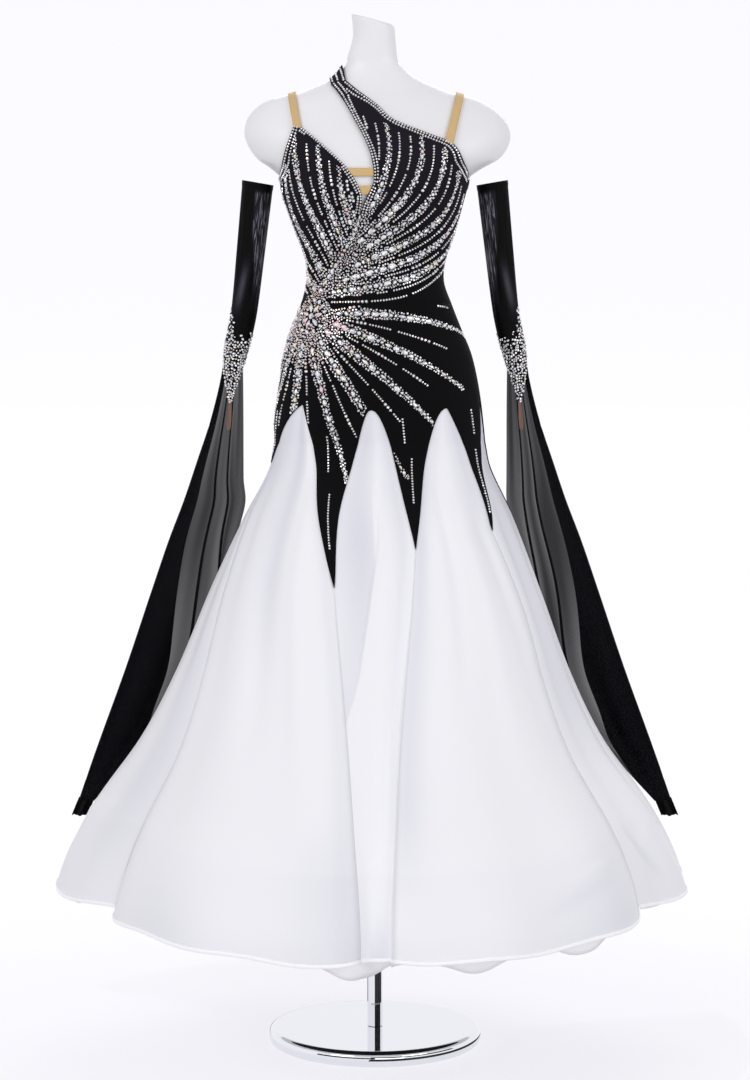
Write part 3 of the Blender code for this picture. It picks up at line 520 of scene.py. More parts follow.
# a point of the dress below the waist: the hips, and under the points the folded skirt
def gownPoint(angle, height, inset=0.0, fine=True):
    if height >= skirtShape["hipLine"]:
        return figurePoint(angle, height, inset)
    degrees = math.degrees(angle)
    first = seamAngle(0, height)
    turned = first + (degrees - first) % 360
    seams = [seamAngle(k, height) for k in range(goreCount + 1)]
    number = max(k for k in range(goreCount) if seams[k] <= turned + 1e-6)
    share = (turned - seams[number]) / (seams[number + 1] - seams[number])
    folds = reliefAt(number, share, height)
    if fine:
        low = ease((skirtShape["hipLine"] - height) / skirtShape["fineBlend"])
        folds += fineFolds(number, share, height) * low
    fullness = figureShape["fullness"] * ease((height - skirtShape["roundBelow"]) / skirtShape["roundBlend"])
    x, y = onSection(smoothRow(flareRows, height), angle, fullness, folds + inset)
    return Vector((x, y, height))


# a point of an arch's edge, in degrees and height; side is 0 left or 1 right, t runs down
def archEdge(number, side, t):
    row = skirtArches[number % goreCount]
    top = row[0] + 360 * (number // goreCount)
    tip = seamAngle(number + side, skirtShape["hipLine"])
    belly = row[8 + side] * max(math.sin(math.pi * t), 0.0) ** 1.5
    return mix(top, tip, t ** row[2 + side]) + belly, mix(row[1], seamValue(number + side, 1), t)


# making pieces

# a grid placed on a surface by the shares across and up it; its own map is flat metres
def placeGrid(bm, columns, rows, place, flat=None):
    made = bmesh.ops.create_grid(bm, x_segments=columns, y_segments=rows, size=0.5)["verts"]
    shares = {vertex: (vertex.co.x + 0.5, vertex.co.y + 0.5) for vertex in made}
    for vertex, (u, v) in shares.items():
        vertex.co = place(u, v)
    if flat:
        layer = bm.loops.layers.uv.get("UVMap") or bm.loops.layers.uv.new("UVMap")
        for vertex, (u, v) in shares.items():
            for loop in vertex.link_loops:
                loop[layer].uv = (u * flat[0], v * flat[1])
    return made


# a piece on the one body, with a cloth's wall or with edges crisp past an angle in degrees
def addPiece(name, bm, finish, node=None, wall=0.0, smooth=True, crisp=0):
    piece = addObject(name, bm, finishes[finish])
    if smooth:
        piece.data.shade_smooth()
    else:
        piece.data.shade_flat()
    if crisp:
        piece.data.set_sharp_from_angle(angle=math.radians(crisp))
    if wall:
        solid = piece.modifiers.new("wall", "SOLIDIFY")
        solid.thickness = wall
        solid.offset = 0.0
        solid.use_quality_normals = True
    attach(piece, "root")
    if node:
        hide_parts(node)
    return piece


# finishes; the cloth's own map is in metres, so a scale there is in threads to the metre

def makeVelvet():
    # knitted stretch velvet: the pile drinks light; its colour drifts at random, and is painted lighter and
    # plum towards the top, over the bust, as painted sheen where light from above falls
    made, tree = newMaterial("knittedStretchVelvet", "050406", 0.88, Sheen_Weight=0.05, Sheen_Roughness=0.45,
                             Sheen_Tint="8d84a0", Specular_IOR_Level=0.12)
    place = addNode(tree, "ShaderNodeTexCoord").outputs["Object"]
    drift = addNode(tree, "ShaderNodeTexNoise", {"Scale": 9.0, "Detail": 3.0}, {"Vector": place})
    height = addNode(tree, "ShaderNodeSeparateXYZ", {}, {"Vector": place}).outputs["Z"]
    # painted sheen: the colour lifts with height, from 1.20 m to 1.42 m
    high = addNode(tree, "ShaderNodeMapRange",
                   {"From Min": 1.20, "From Max": 1.42, "To Min": 0.0, "To Max": 0.75}, {"Value": height})
    toneAndPaintedSheen = addNode(tree, "ShaderNodeMath", {"operation": "MULTIPLY_ADD", 1: 0.30}, {0: drift, 2: high})
    # random tone and painted sheen together pick the colour; the plum top stop is painted sheen
    addNode(tree, "ShaderNodeValToRGB", {"stops": ((0.08, "010102"), (0.30, "050407"), (0.95, "1c1620"))},
            {"Fac": toneAndPaintedSheen}, "Base Color")
    # pile tufts are 0.3 mm, drawn at 1.2 mm so that they show
    pile = addNode(tree, "ShaderNodeTexNoise", {"Scale": 850.0, "Detail": 2.0}, {"Vector": place})
    addNode(tree, "ShaderNodeBump", {"Strength": 0.35, "Distance": 0.0004}, {"Height": pile}, "Normal")
    return made


def makeSatin():
    # satin organza: smooth white threads, painted lilac grey by the gore's painted shade and painted
    # highlights, with an even painted glow that lifts its folds
    made, tree = newMaterial("satinOrganza", "f4f4f9", 0.50, Sheen_Weight=0.20, Sheen_Roughness=0.35,
                             Sheen_Tint="f6f5ff", Specular_IOR_Level=0.35, Emission_Color="f6f6fb",
                             Emission_Strength=0.085)
    # the gore's painted shading, with the crin's tone above the hem, greys the white towards lilac
    veil = addNode(tree, "ShaderNodeAttribute", {"attribute_name": "veil"}).outputs["Fac"]
    addNode(tree, "ShaderNodeValToRGB", {"stops": ((0.0, "f8f8fb"), (0.5, "e6e6ed"), (1.0, "cfcfdb"))},
            {"Fac": veil}, "Base Color")
    # warp threads 0.1 mm apart, drawn as 1.6 mm streaks so that they show
    cloth = addNode(tree, "ShaderNodeUVMap", {"uv_map": "UVMap"})
    warp = addNode(tree, "ShaderNodeMapping", {"Scale": (620.0, 9.0, 1.0)}, {"Vector": cloth})
    threads = addNode(tree, "ShaderNodeTexNoise", {"Scale": 1.0, "Detail": 2.0}, {"Vector": warp})
    addNode(tree, "ShaderNodeBump", {"Strength": 0.12, "Distance": 0.0005}, {"Height": threads}, "Normal")
    return made


def makeCrin():
    # crin braid: a stiff open plait of white nylon hair, with a painted glow that keeps its folded edge and
    # underside bright
    made, tree = newMaterial("crinBraid", "f8f8fc", 0.42, Specular_IOR_Level=0.45, Emission_Strength=0.17)
    # hairs 1 mm apart, drawn at 2.4 mm so that they show
    cloth = addNode(tree, "ShaderNodeUVMap", {"uv_map": "UVMap"})
    plait = addNode(tree, "ShaderNodeTexVoronoi", {"Scale": 420.0}, {"Vector": cloth})
    addNode(tree, "ShaderNodeBump", {"Strength": 0.3, "Distance": 0.0005}, {"Height": plait}, "Normal")
    return made


def makeMesh():
    # power mesh: a fine black net; where it is stretched over the arm, streaks of grey painted sheen and a
    # painted highlight patch lighten its colour
    made, tree = newMaterial("blackPowerMesh", "010102", 0.60, Alpha=0.97, Sheen_Weight=0.02,
                             Sheen_Roughness=0.30, Sheen_Tint="aeb0c4", Specular_IOR_Level=0.08)
    lustre, patch = (addNode(tree, "ShaderNodeAttribute", {"attribute_name": name}).outputs["Fac"]
                     for name in ("lustre", "patch"))
    # threads 0.2 mm apart, drawn as 2 mm streaks so that they show
    cloth = addNode(tree, "ShaderNodeUVMap", {"uv_map": "UVMap"})
    warp = addNode(tree, "ShaderNodeMapping", {"Scale": (520.0, 26.0, 1.0)}, {"Vector": cloth})
    streaks = addNode(tree, "ShaderNodeTexNoise", {"Scale": 1.0, "Detail": 2.0, "Distortion": 1.1},
                      {"Vector": warp})
    lines = addNode(tree, "ShaderNodeMapRange",
                    {"From Min": 0.50, "From Max": 0.62, "To Min": 0.22, "To Max": 1.0}, {"Value": streaks})
    # the grey is painted sheen: thread streaks under the painted sheen mask, plus the painted highlight patch
    shine = addNode(tree, "ShaderNodeMath", {"operation": "MULTIPLY_ADD"}, {0: lustre, 1: lines, 2: patch})
    stops = ((0.0, "010102"), (0.22, "1c1c23"), (0.45, "3a3a42"), (1.0, "8a8a96"))
    addNode(tree, "ShaderNodeValToRGB", {"stops": stops}, {"Fac": shine}, "Base Color")
    # the net's holes are 0.4 mm, drawn at 1.5 mm so that they show
    holes = addNode(tree, "ShaderNodeMapping", {"Scale": (660.0, 660.0, 1.0)}, {"Vector": cloth})
    net = addNode(tree, "ShaderNodeTexVoronoi", {"Scale": 1.0}, {"Vector": holes})
    addNode(tree, "ShaderNodeBump", {"Strength": 0.15, "Distance": 0.0003}, {"Height": net}, "Normal")
    return made


def makeChiffon():
    # silk chiffon: one layer is smoke grey and lets light through, three are black
    made, tree = newMaterial("blackSilkChiffon", "06060e", 0.80, Sheen_Weight=0.07, Sheen_Roughness=0.40,
                             Sheen_Tint="8a8cb4", Specular_IOR_Level=0.10)
    # it hangs in soft folds 15 to 40 mm wide, closer set and so darker in their hollows
    cloth = addNode(tree, "ShaderNodeUVMap", {"uv_map": "UVMap"})
    hang = addNode(tree, "ShaderNodeMapping", {"Scale": (42.0, 1.6, 1.0)}, {"Vector": cloth})
    folds = addNode(tree, "ShaderNodeTexNoise", {"Scale": 1.0, "Detail": 1.0}, {"Vector": hang})
    addNode(tree, "ShaderNodeMapRange",
            {"From Min": 0.36, "From Max": 0.64, "To Min": 0.62, "To Max": 0.82}, {"Value": folds}, "Alpha")
    # crepe grain 0.5 mm, drawn at 2 mm so that it shows
    crepe = addNode(tree, "ShaderNodeMapping", {"Scale": (500.0, 500.0, 1.0)}, {"Vector": cloth})
    grain = addNode(tree, "ShaderNodeTexNoise", {"Scale": 1.0, "Detail": 1.0}, {"Vector": crepe})
    addNode(tree, "ShaderNodeBump", {"Strength": 0.15, "Distance": 0.0004}, {"Height": grain}, "Normal")
    return made


def makeElastic(name, code, dark):
    # plush-backed flat elastic: fine ribs run across it, with painted shade making it a shade darker in their
    # grooves
    made, tree = newMaterial(name, code, 0.62, Sheen_Weight=0.15, Specular_IOR_Level=0.35)
    # ribs 0.6 mm apart, drawn at 1.5 mm so that they show
    cloth = addNode(tree, "ShaderNodeUVMap", {"uv_map": "UVMap"})
    ribs = addNode(tree, "ShaderNodeTexWave", {"bands_direction": "Y", "Scale": 210.0, "Distortion": 0.4},
                   {"Vector": cloth}).outputs["Fac"]
    addNode(tree, "ShaderNodeValToRGB", {"stops": ((0.0, dark), (0.6, code))}, {"Fac": ribs}, "Base Color")
    addNode(tree, "ShaderNodeBump", {"Strength": 0.3, "Distance": 0.0003}, {"Height": ribs}, "Normal")
    return made


def makeFibreglass():
    # white gelcoat over fibreglass, buffed: a clear wet-looking skin over an even body, with a faint painted
    # glow
    made, tree = newMaterial("buffedGelcoat", "f6f6f9", 0.42, Coat_Weight=0.20, Coat_Roughness=0.24,
                             Emission_Strength=0.03)
    place = addNode(tree, "ShaderNodeTexCoord").outputs["Object"]
    cloud = addNode(tree, "ShaderNodeTexNoise", {"Scale": 5.0, "Detail": 2.0}, {"Vector": place})
    addNode(tree, "ShaderNodeValToRGB", {"stops": ((0.3, "f4f4f7"), (0.7, "f9f9fb"))}, {"Fac": cloud},
            "Base Color")
    return made


def makeChrome():
    # bright chrome plate on steel: a near mirror with the faintest polishing haze
    made, tree = newMaterial("brightChromePlate", "eceef1", 0.05, 1.0)
    place = addNode(tree, "ShaderNodeTexCoord").outputs["Object"]
    haze = addNode(tree, "ShaderNodeTexNoise", {"Scale": 40.0, "Detail": 3.0}, {"Vector": place})
    addNode(tree, "ShaderNodeMapRange", {"To Min": 0.03, "To Max": 0.07}, {"Value": haze}, "Roughness")
    return made


def makeCrystal():
    # foil-backed cut glass: each facet's colour is a painted glint of its own strength, some tinted rose or
    # gold
    made, tree = newMaterial("foiledCutGlass", "f0f0f6", 0.16, 0.42, Coat_Weight=0.3, Coat_Roughness=0.06)
    addNode(tree, "ShaderNodeAttribute", {"attribute_name": "facetColour"}, {}, "Base Color")
    return made


finishes = {
    "velvet": makeVelvet(),
    "satin": makeSatin(),
    "crin": makeCrin(),
    "mesh": makeMesh(),
    "chiffon": makeChiffon(),
    "elastic": makeElastic("flatNudeElastic", "e6c489", "d2ab6b"),
    "loopElastic": makeElastic("thinFingerElastic", "8e6a5c", "6f4f42"),
    "fibreglass": makeFibreglass(),
    "chrome": makeChrome(),
    "crystal": makeCrystal(),
}
print("finishes ready")


# the dress form and its stand

formShape = {
    "bottom": 0.800,
    "rounding": 0.014,
    "tuck": 0.020,
    "columns": 112,
    "rows": 190,
    "turnRows": 6,               # of them, the rows in the rounding at the bottom
    "clearance": 0.0046,
    "hipClearance": 0.0061,
    "neckTilt": 0.27,            # the neck's top face falls this much for each unit to the right
    "neckTiltFrom": 1.570,
    "neckTiltGrows": 0.045,
    "neckRim": 0.0012,           # a small step in from the rim keeps the cut neck crisp
}
standSizes = {
    "baseRadius": 0.170,
    "baseHeight": 0.025,
    "baseEdge": 0.0118,
    "poleRadius": 0.0122,
    "flangeRadius": 0.045,
    "flangeHeight": 0.006,
    "gap": 0.0003,
    "baseTopEdge": 0.004,
    "poleChamfer": 0.0006,
    "flangeChamfer": 0.001,
    "squareness": 0.85,          # of the base's edge; 1 is round
}


def buildForm():
    low, top = formShape["bottom"], figureRows[-1][0]
    rows, turnRows = formShape["rows"], formShape["turnRows"]

    def place(u, v):
        angle, k = math.tau * u, v * rows
        if k < turnRows:
            height = low + formShape["rounding"] * (k / turnRows) ** 1.5
        else:
            height = mix(low + formShape["rounding"], top, (k - turnRows) / (rows - turnRows))
        clear = mix(formShape["hipClearance"], formShape["clearance"], ease((height - 0.99) / 0.05))
        clear += formShape["tuck"] * (1 - min((height - low) / formShape["rounding"], 1.0)) ** 2
        point = lifted(figurePoint, angle, height, -clear)
        tilt = ease((height - formShape["neckTiltFrom"]) / formShape["neckTiltGrows"])
        point.z = height - formShape["neckTilt"] * point.x * tilt
        return point

    bm = bmesh.new()
    placeGrid(bm, formShape["columns"], rows, place)
    bmesh.ops.remove_doubles(bm, verts=bm.verts, dist=1e-6)
    caps = bmesh.ops.holes_fill(bm, edges=[edge for edge in bm.edges if edge.is_boundary])["faces"]
    bmesh.ops.recalc_face_normals(bm, faces=bm.faces)
    bmesh.ops.inset_individual(bm, faces=caps, thickness=formShape["neckRim"], depth=0.0)
    addPiece("dressFormTorso", bm, "fibreglass", "form_torso")


# a disc or a tube's outline with a chamfer at both ends
def barProfile(radius, top, low, chamfer):
    return [(0.0, top), (radius - chamfer, top), (radius, top - chamfer),
            (radius, low + chamfer), (radius - chamfer, low), (0.0, low)]


def buildStand():
    size = standSizes
    middle, flat = 0.5 * size["baseHeight"], size["baseRadius"] - size["baseEdge"]
    inner, square = flat - size["baseTopEdge"], size["squareness"]
    base = [(0.0, size["baseHeight"]), (inner, size["baseHeight"])]
    for i in range(25):
        turn = math.pi * i / 24
        out, up = math.sin(turn) ** square, math.copysign(abs(math.cos(turn)) ** square, math.cos(turn))
        base.append((flat + size["baseEdge"] * out, middle + middle * up))
    base += [(inner, 0.0), (0.0, 0.0)]
    flangeTop = formShape["bottom"] - size["gap"]
    flangeLow = flangeTop - size["flangeHeight"]
    pole = barProfile(size["poleRadius"], flangeLow - size["gap"], size["baseHeight"] + size["gap"],
                      size["poleChamfer"])
    flange = barProfile(size["flangeRadius"], flangeTop, flangeLow, size["flangeChamfer"])
    for name, node, profile, steps in (("standBase", "stand_base", base, 128),
                                       ("standPole", "stand_pole", pole, 64),
                                       ("standFlange", "stand_flange", flange, 64)):
        addPiece(name, spinProfile(profile, steps, 1e-6), "chrome", node, crisp=25)


buildForm()
buildStand()
print("form and stand built")


# the bodice

bodiceCut = {
    "wall": 0.0014,
    "columns": 44,
    "rowsEach": 6,
    "backGrid": (36, 28),
    # keyhole bars: name, lowest and highest point in millimetres, cut length
    "bars": (("upper", 1375, 1387, 0.045), ("lower", 1347, 1360, 0.023)),
    "barLap": 1.5,               # how far a bar runs under the velvet, in millimetres
    "barLift": 0.0002,
    "elasticWall": 0.0012,
    "strapLift": 0.0008,
    "strapRows": 60,
}
side = 250              # an edge here lies on the side seam, millimetres
cupRows = (             # x and height of the left edge, x and height of the right edge
    (-side, 1178, -96, 1178),
    (-side, 1222, -76, 1212),
    (-side, 1266, -51, 1254),
    (-side, 1306, -28, 1298),
    (-side, 1340, -20, 1342),
    (-side, 1362, -29, 1366),
    (-148, 1376, -38, 1380),
    (-144, 1390, -49, 1394),
    (-138, 1414, -70, 1414),
    (-130, 1438, -93, 1434),
    (-125, 1452, -113, 1450),
)
wrapRows = (
    (-96, 1178, side, 1178),
    (-76, 1212, side, 1214),
    (-51, 1254, side, 1256),
    (-28, 1298, side, 1300),
    (-18, 1332, side, 1336),
    (-4, 1362, side, 1362),
    (-2, 1376, 144, 1380),
    (-3, 1390, 137, 1396),
    (-8, 1412, 120, 1424),
    (-18, 1436, 84, 1439),
    (-32, 1462, 28, 1462),
    (-44, 1484, 4, 1484),
    (-58, 1505, -24, 1505),
    (-67, 1516, -44, 1522),
)
# piece, node, finish, slot, width and length, and in millimetres the front corners, x over the shoulder
# and x at the back
straps = (
    ("shoulderStrapLeft", "shoulder_strap_left", "elastic", "nude_elastic", (0.012, 0.43),
     ((-125, 1452, -113, 1450), (-135, -123), (-98, -86))),
    ("shoulderStrapRight", "shoulder_strap_right", "elastic", "nude_elastic", (0.012, 0.46),
     ((107, 1429.4, 119, 1424.4), (126, 138), (86, 98))),
    ("halterStrap", "halter_strap", "velvet", "black_velvet", (0.022, 0.42),
     ((-67, 1516, -44, 1522), (-70, -50), (-12, 12))),
)


def sideClamped(x, height):
    if abs(x) < side:
        return x
    shift, half = smoothRow(figureRows, height / 1000)[:2]
    return 1000 * (shift + math.copysign(half, x))


# x and height of a front piece's edge, in millimetres, at a row number with a fraction
def edgeAt(table, column, at):
    if table is wrapRows and column == 0 and at <= 3:
        return edgeAt(cupRows, 2, at)
    low = min(int(at), len(table) - 2)
    if abs(table[low][column]) == side and abs(table[low + 1][column]) == side:
        height = mix(table[low][column + 1], table[low + 1][column + 1], at - low)
        return table[low][column], height
    rows = [(k, sideClamped(row[column], row[column + 1]), row[column + 1]) for k, row in enumerate(table)]
    x, height = smoothRow(rows, at)
    return x, height


# where a share across and a row number of a front piece lie on the figure: angle, height
def frontPanel(table, overlap):
    last = len(table) - 1

    def at(u, v):
        left, leftHeight = edgeAt(table, 0, v * last)
        right, rightHeight = edgeAt(table, 2, v * last)
        leftAngle = angleAt(left / 1000, leftHeight / 1000)
        rightAngle = angleAt((right + overlap * ease(2.5 - v * last)) / 1000, rightHeight / 1000)
        return mix(leftAngle, rightAngle, u), mix(leftHeight, rightHeight, u) / 1000

    return at


def backTop(angle):
    share = ease(-skirtShape["scoopStart"] * math.cos(angle))
    return skirtShape["armhole"] - skirtShape["backScoop"] * share


def buildFronts():
    cut = bodiceCut
    for name, node, table, overlap, extra, flat, area in (
            ("bodiceCup", "bodice_cup", cupRows, 3.0, -0.0003, (0.20, 0.29), 0.040),
            ("bodiceWrap", "bodice_wrap", wrapRows, 0.0, 0.0003, (0.30, 0.36), 0.074)):
        at, lift = frontPanel(table, overlap), 0.5 * cut["wall"] + extra
        bm = bmesh.new()
        placeGrid(bm, cut["columns"], (len(table) - 1) * cut["rowsEach"],
                  lambda u, v: lifted(figurePoint, *at(u, v), lift), flat)
        piece = addPiece(name, bm, "velvet", node, cut["wall"])


def buildBacks():
    cut, flat = bodiceCut, (0.19, 0.18)
    for name, node, start in (("bodiceBackRight", "bodice_back_right", 0.5),
                              ("bodiceBackLeft", "bodice_back_left", 1.0)):

        def place(u, v):
            angle = math.pi * (start + 0.5 * u)
            return lifted(figurePoint, angle, mix(skirtShape["waist"], backTop(angle), v), 0.5 * cut["wall"])

        bm = bmesh.new()
        placeGrid(bm, *cut["backGrid"], place, flat)
        piece = addPiece(name, bm, "velvet", node, cut["wall"])


# the nude bars across the keyhole
def buildBars():
    cut = bodiceCut
    for name, low, high, length in cut["bars"]:

        def place(u, v):
            height = mix(low, high, v)
            left, right = edgeX(cupRows, 2, height), edgeX(wrapRows, 0, height)
            x = mix(left - cut["barLap"], right + cut["barLap"], u)
            angle = angleAt(x / 1000, height / 1000)
            return lifted(figurePoint, angle, height / 1000, cut["barLift"])

        bm = bmesh.new()
        placeGrid(bm, 14, 8, place, (0.03, 0.012))
        piece = addPiece(f"keyholeBar{name.title()}", bm, "elastic", f"keyhole_bar_{name}",
                         cut["elasticWall"])


# x of an edge at a height, both in millimetres
def edgeX(table, column, height):
    for lower, upper in zip(table, table[1:]):
        if lower[column + 1] <= height <= upper[column + 1]:
            share = (height - lower[column + 1]) / (upper[column + 1] - lower[column + 1])
            return mix(lower[column], upper[column], share)
    return table[0][column] if height < table[0][column + 1] else table[-1][column]


# the height of the shoulder's ridge at x
def ridgeHeight(x):
    low, high = 1.450, 1.600
    for _ in range(30):
        middle = (low + high) / 2
        shift, half = smoothRow(figureRows, middle)[:2]
        if abs(x - shift) < half:
            low = middle
        else:
            high = middle
    return low


# a point on a band over the shoulder: u across it, s from its front end, -1, to 1
def strapPoint(front, over, back, u, s):
    left, leftHeight, right, rightHeight = (value / 1000 for value in front)
    xOver = mix(*over, u) / 1000
    top = ridgeHeight(xOver)
    if s < 0:
        xEnd, low = mix(left, right, u), mix(leftHeight, rightHeight, u) - 0.002
    else:
        xEnd, low = mix(*back, u) / 1000, skirtShape["armhole"]
        for _ in range(8):
            low = backTop(math.pi - angleAt(xEnd, low)) - 0.002
    x, height = mix(xOver, xEnd, s * s), mix(top, low, s * s)
    angle = angleAt(x, height)
    return figurePoint(angle if s < 0 else math.pi - angle, height)


# a strap's point and its outward normal
def strapFrame(ends, u, s):
    point = strapPoint(*ends, u, s)
    across = strapPoint(*ends, u + 0.05, s) - strapPoint(*ends, u - 0.05, s)
    along = strapPoint(*ends, u, min(s + 0.01, 1.0)) - strapPoint(*ends, u, max(s - 0.01, -1.0))
    return point, across.cross(along).normalized()


def buildStraps():
    wall = bodiceCut["elasticWall"]
    for name, node, finish, slot, flat, ends in straps:

        def place(u, v):
            point, normal = strapFrame(ends, u, mix(-1, 1, v))
            return point + normal * (bodiceCut["strapLift"] + 0.5 * wall)

        bm = bmesh.new()
        placeGrid(bm, 6, bodiceCut["strapRows"], place, flat)
        piece = addPiece(name, bm, finish, node, wall)


buildFronts()
buildBacks()
buildBars()
buildStraps()
print("bodice built")


# the hip yoke

yokeCut = {
    "wall": 0.0014,
    "lift": 0.0003,
    "pointColumns": 14,
    "pointRows": 40,
    "bandRows": 20,
    "tipShare": 0.997,
    "underWaist": 0.002,         # how far it runs on under the bodice
}


def buildYoke(name, node, first, waistAngles):
    cut = yokeCut

    def outside(degrees, height):
        return lifted(gownPoint, math.radians(degrees), height, 0.5 * cut["wall"] + cut["lift"])

    # the band above the points, from their roots up to the waist
    def band(u, v):
        number = min(first + int(u * 4 + 1e-6), first + 3)
        left, right = archEdge(number - 1, 1, 0.0), archEdge(number, 0, 0.0)
        angle, low = (mix(a, b, u * 4 - (number - first)) for a, b in zip(left, right))
        high = skirtShape["waist"] + cut["underWaist"]
        return outside(mix(angle, mix(*waistAngles, u), v), mix(low, high, v))

    bm = bmesh.new()
    placeGrid(bm, 4 * cut["pointColumns"], cut["bandRows"], band, (0.5, 0.16))
    for number in range(first, first + 4):

        def point(u, v):
            t = min((1 - v) ** 1.5, cut["tipShare"])
            left, right = archEdge(number - 1, 1, t), archEdge(number, 0, t)
            return outside(*(mix(a, b, u) for a, b in zip(left, right)))

        placeGrid(bm, cut["pointColumns"], cut["pointRows"], point, (0.12, 0.2))
    bmesh.ops.remove_doubles(bm, verts=bm.verts, dist=1e-5)
    piece = addPiece(name, bm, "velvet", node, cut["wall"])


buildYoke("hipYokeFront", "hip_yoke_front", 0, (-90, 90))
buildYoke("hipYokeBack", "hip_yoke_back", 4, (90, 270))
print("yoke built")


# the skirt: eight gores, their crin hem bands and the flounces under them

skirtCloth = {
    "wall": 0.0012,
    "columns": 48,
    "archRows": 40,
    "bodyRows": 44,
    "bandRows": 14,
    "goreInset": 0.0002,
    "underYoke": 0.0030,         # how far a gore's edge runs on under the velvet
    "bandInset": 0.0024,
    "bandWall": 0.0010,
    "binding": 0.0045,           # the crin's edge turned up over the front of the hem
    "bindingLift": 0.0009,
    "bindingDrop": 0.0013,
    "flounceRuffle": 0.010,      # depth of the lettuce waves along the flounce's edge
    "flounceDip": 0.006,
    # the painted shade under the yoke and how far down it reaches, the tone of the hem's crin showing
    # through, and the painted shade that a metre of a crinkle's depth adds
    "paintedYokeShade": (0.42, 0.20),
    "hemShade": 0.07,
    "paintedCrinkleShade": 90,
}
# painted shade along folds and recesses, in the same columns as the creases, with an amount in place of the
# depth; painted light streaks have a minus
paintedFoldShades = (
    ((0.16, 0.12, 0.18, 0.14, 0.00, 0.60), (0.58, 0.54, 0.36, 0.10, 0.00, 0.56),
     (0.78, 0.82, -0.45, 0.07, 0.00, 0.80), (0.03, 0.03, 0.35, 0.06, 0.10, 1.2),
     (0.96, 0.96, 0.25, 0.04, 0.0, 1.2), (0.86, 0.90, 0.26, 0.10, 0.80, 1.2),
     (0.34, 0.34, 0.24, 0.16, 0.92, 1.4)),
    ((0.28, 0.20, 0.26, 0.22, 0.00, 0.50), (0.62, 0.40, -0.25, 0.09, 0.05, 0.60),
     (0.84, 0.88, 0.20, 0.08, 0.00, 0.90), (0.62, 0.62, 0.34, 0.30, 0.94, 1.4)),
    ((0.05, 0.03, 0.42, 0.07, 0.10, 0.95), (0.40, 0.30, -0.30, 0.16, -0.30, 0.45),
     (0.78, 0.78, 0.20, 0.10, 0.00, 0.40), (0.97, 0.97, 0.35, 0.05, 0.15, 1.1),
     (0.82, 0.80, 0.15, 0.08, 0.82, 1.2), (0.66, 0.70, 0.26, 0.16, 0.90, 1.4)),
    ((0.50, 0.40, 0.50, 0.40, 0.00, 0.80), (0.75, 0.70, -0.20, 0.10, 0.3, 1.1)),
    ((0.35, 0.30, 0.35, 0.18, 0.00, 0.60), (0.75, 0.80, 0.30, 0.14, 0.05, 0.90)),
    ((0.30, 0.24, 0.40, 0.14, 0.00, 0.60), (0.60, 0.62, -0.30, 0.08, 0.00, 0.70),
     (0.85, 0.90, 0.35, 0.10, 0.05, 0.9)),
    ((0.22, 0.16, 0.35, 0.14, 0.00, 0.60), (0.50, 0.48, -0.30, 0.10, 0.00, 0.70),
     (0.80, 0.86, 0.40, 0.12, 0.05, 0.9)),
    ((0.30, 0.24, 0.40, 0.16, 0.00, 0.60), (0.60, 0.62, -0.30, 0.08, 0.00, 0.80),
     (0.88, 0.92, 0.40, 0.10, 0.05, 1.0)),
)
# scallops where the flounces drop below the hem: bearing, half width in degrees, drop
flounceScallops = (
    (-3.0, 5.0, 0.023), (17.5, 4.6, 0.016), (39.5, 5.0, 0.020), (-34, 5.0, 0.004), (70, 5.0, 0.007),
    (104, 5.0, 0.011), (131, 4.5, 0.008), (163, 5.0, 0.012), (188, 4.6, 0.009), (219, 5.0, 0.012),
    (247, 4.8, 0.009), (281, 5.0, 0.011),
)


# degrees and height on a gore between two levels, each given for its left and right seam
def gorePlace(number, u, fromTop, toTop, share):
    left, right = (mix(a, b, share) for a, b in zip(fromTop, toTop))
    start, hem = tipHeightAt(number, u), hemHeightAt(number, u)
    height = mix(left, right, u)
    down = min(max((start - height) / (start - hem), 0.0), 1.0)
    height -= skirtShape["hemDip"] * math.sin(math.pi * u) * down
    return mix(seamAngle(number, left), seamAngle(number + 1, right), u), height


# heights at the left and right seam of a gore: the yoke's tips, the hem band's top, the hem
def goreLevels(number):
    tips = seamValue(number, 1), seamValue(number + 1, 1)
    hems = seamValue(number, 3), seamValue(number + 1, 3)
    return tips, tuple(height + skirtShape["hemBand"] for height in hems), hems


# where a share across and up a gore lies, in degrees and height
def goreSpot(number, u, v):
    total = skirtCloth["archRows"] + skirtCloth["bodyRows"] + skirtCloth["bandRows"]
    row = (1 - v) * total
    if row <= skirtCloth["archRows"]:
        t = max(row / skirtCloth["archRows"], 0.0) ** 1.5
        left, right = archEdge(number, 0, t), archEdge(number, 1, t)
        tuck = math.degrees(skirtCloth["underYoke"] / 0.13) * ease((1 - t) * 5)
        lift = skirtCloth["underYoke"] * ease((1 - t) * 3)
        return mix(left[0] - tuck, right[0] + tuck, u), mix(left[1], right[1], u) + lift
    tips, bands, hems = goreLevels(number)
    row -= skirtCloth["archRows"]
    if row <= skirtCloth["bodyRows"]:
        return gorePlace(number, u, tips, bands, row / skirtCloth["bodyRows"])
    return gorePlace(number, u, bands, hems, (row - skirtCloth["bodyRows"]) / skirtCloth["bandRows"])


# the hem's own small rise and fall, uneven all the way round, which dies away upwards
def hemFlutter(angle, height):
    low = ease((skirtShape["flounceHeight"] - height) / 0.2)
    return (0.0022 * math.sin(7.3 * angle + 0.6) + 0.0016 * math.sin(17 * angle + 2.1)) * low


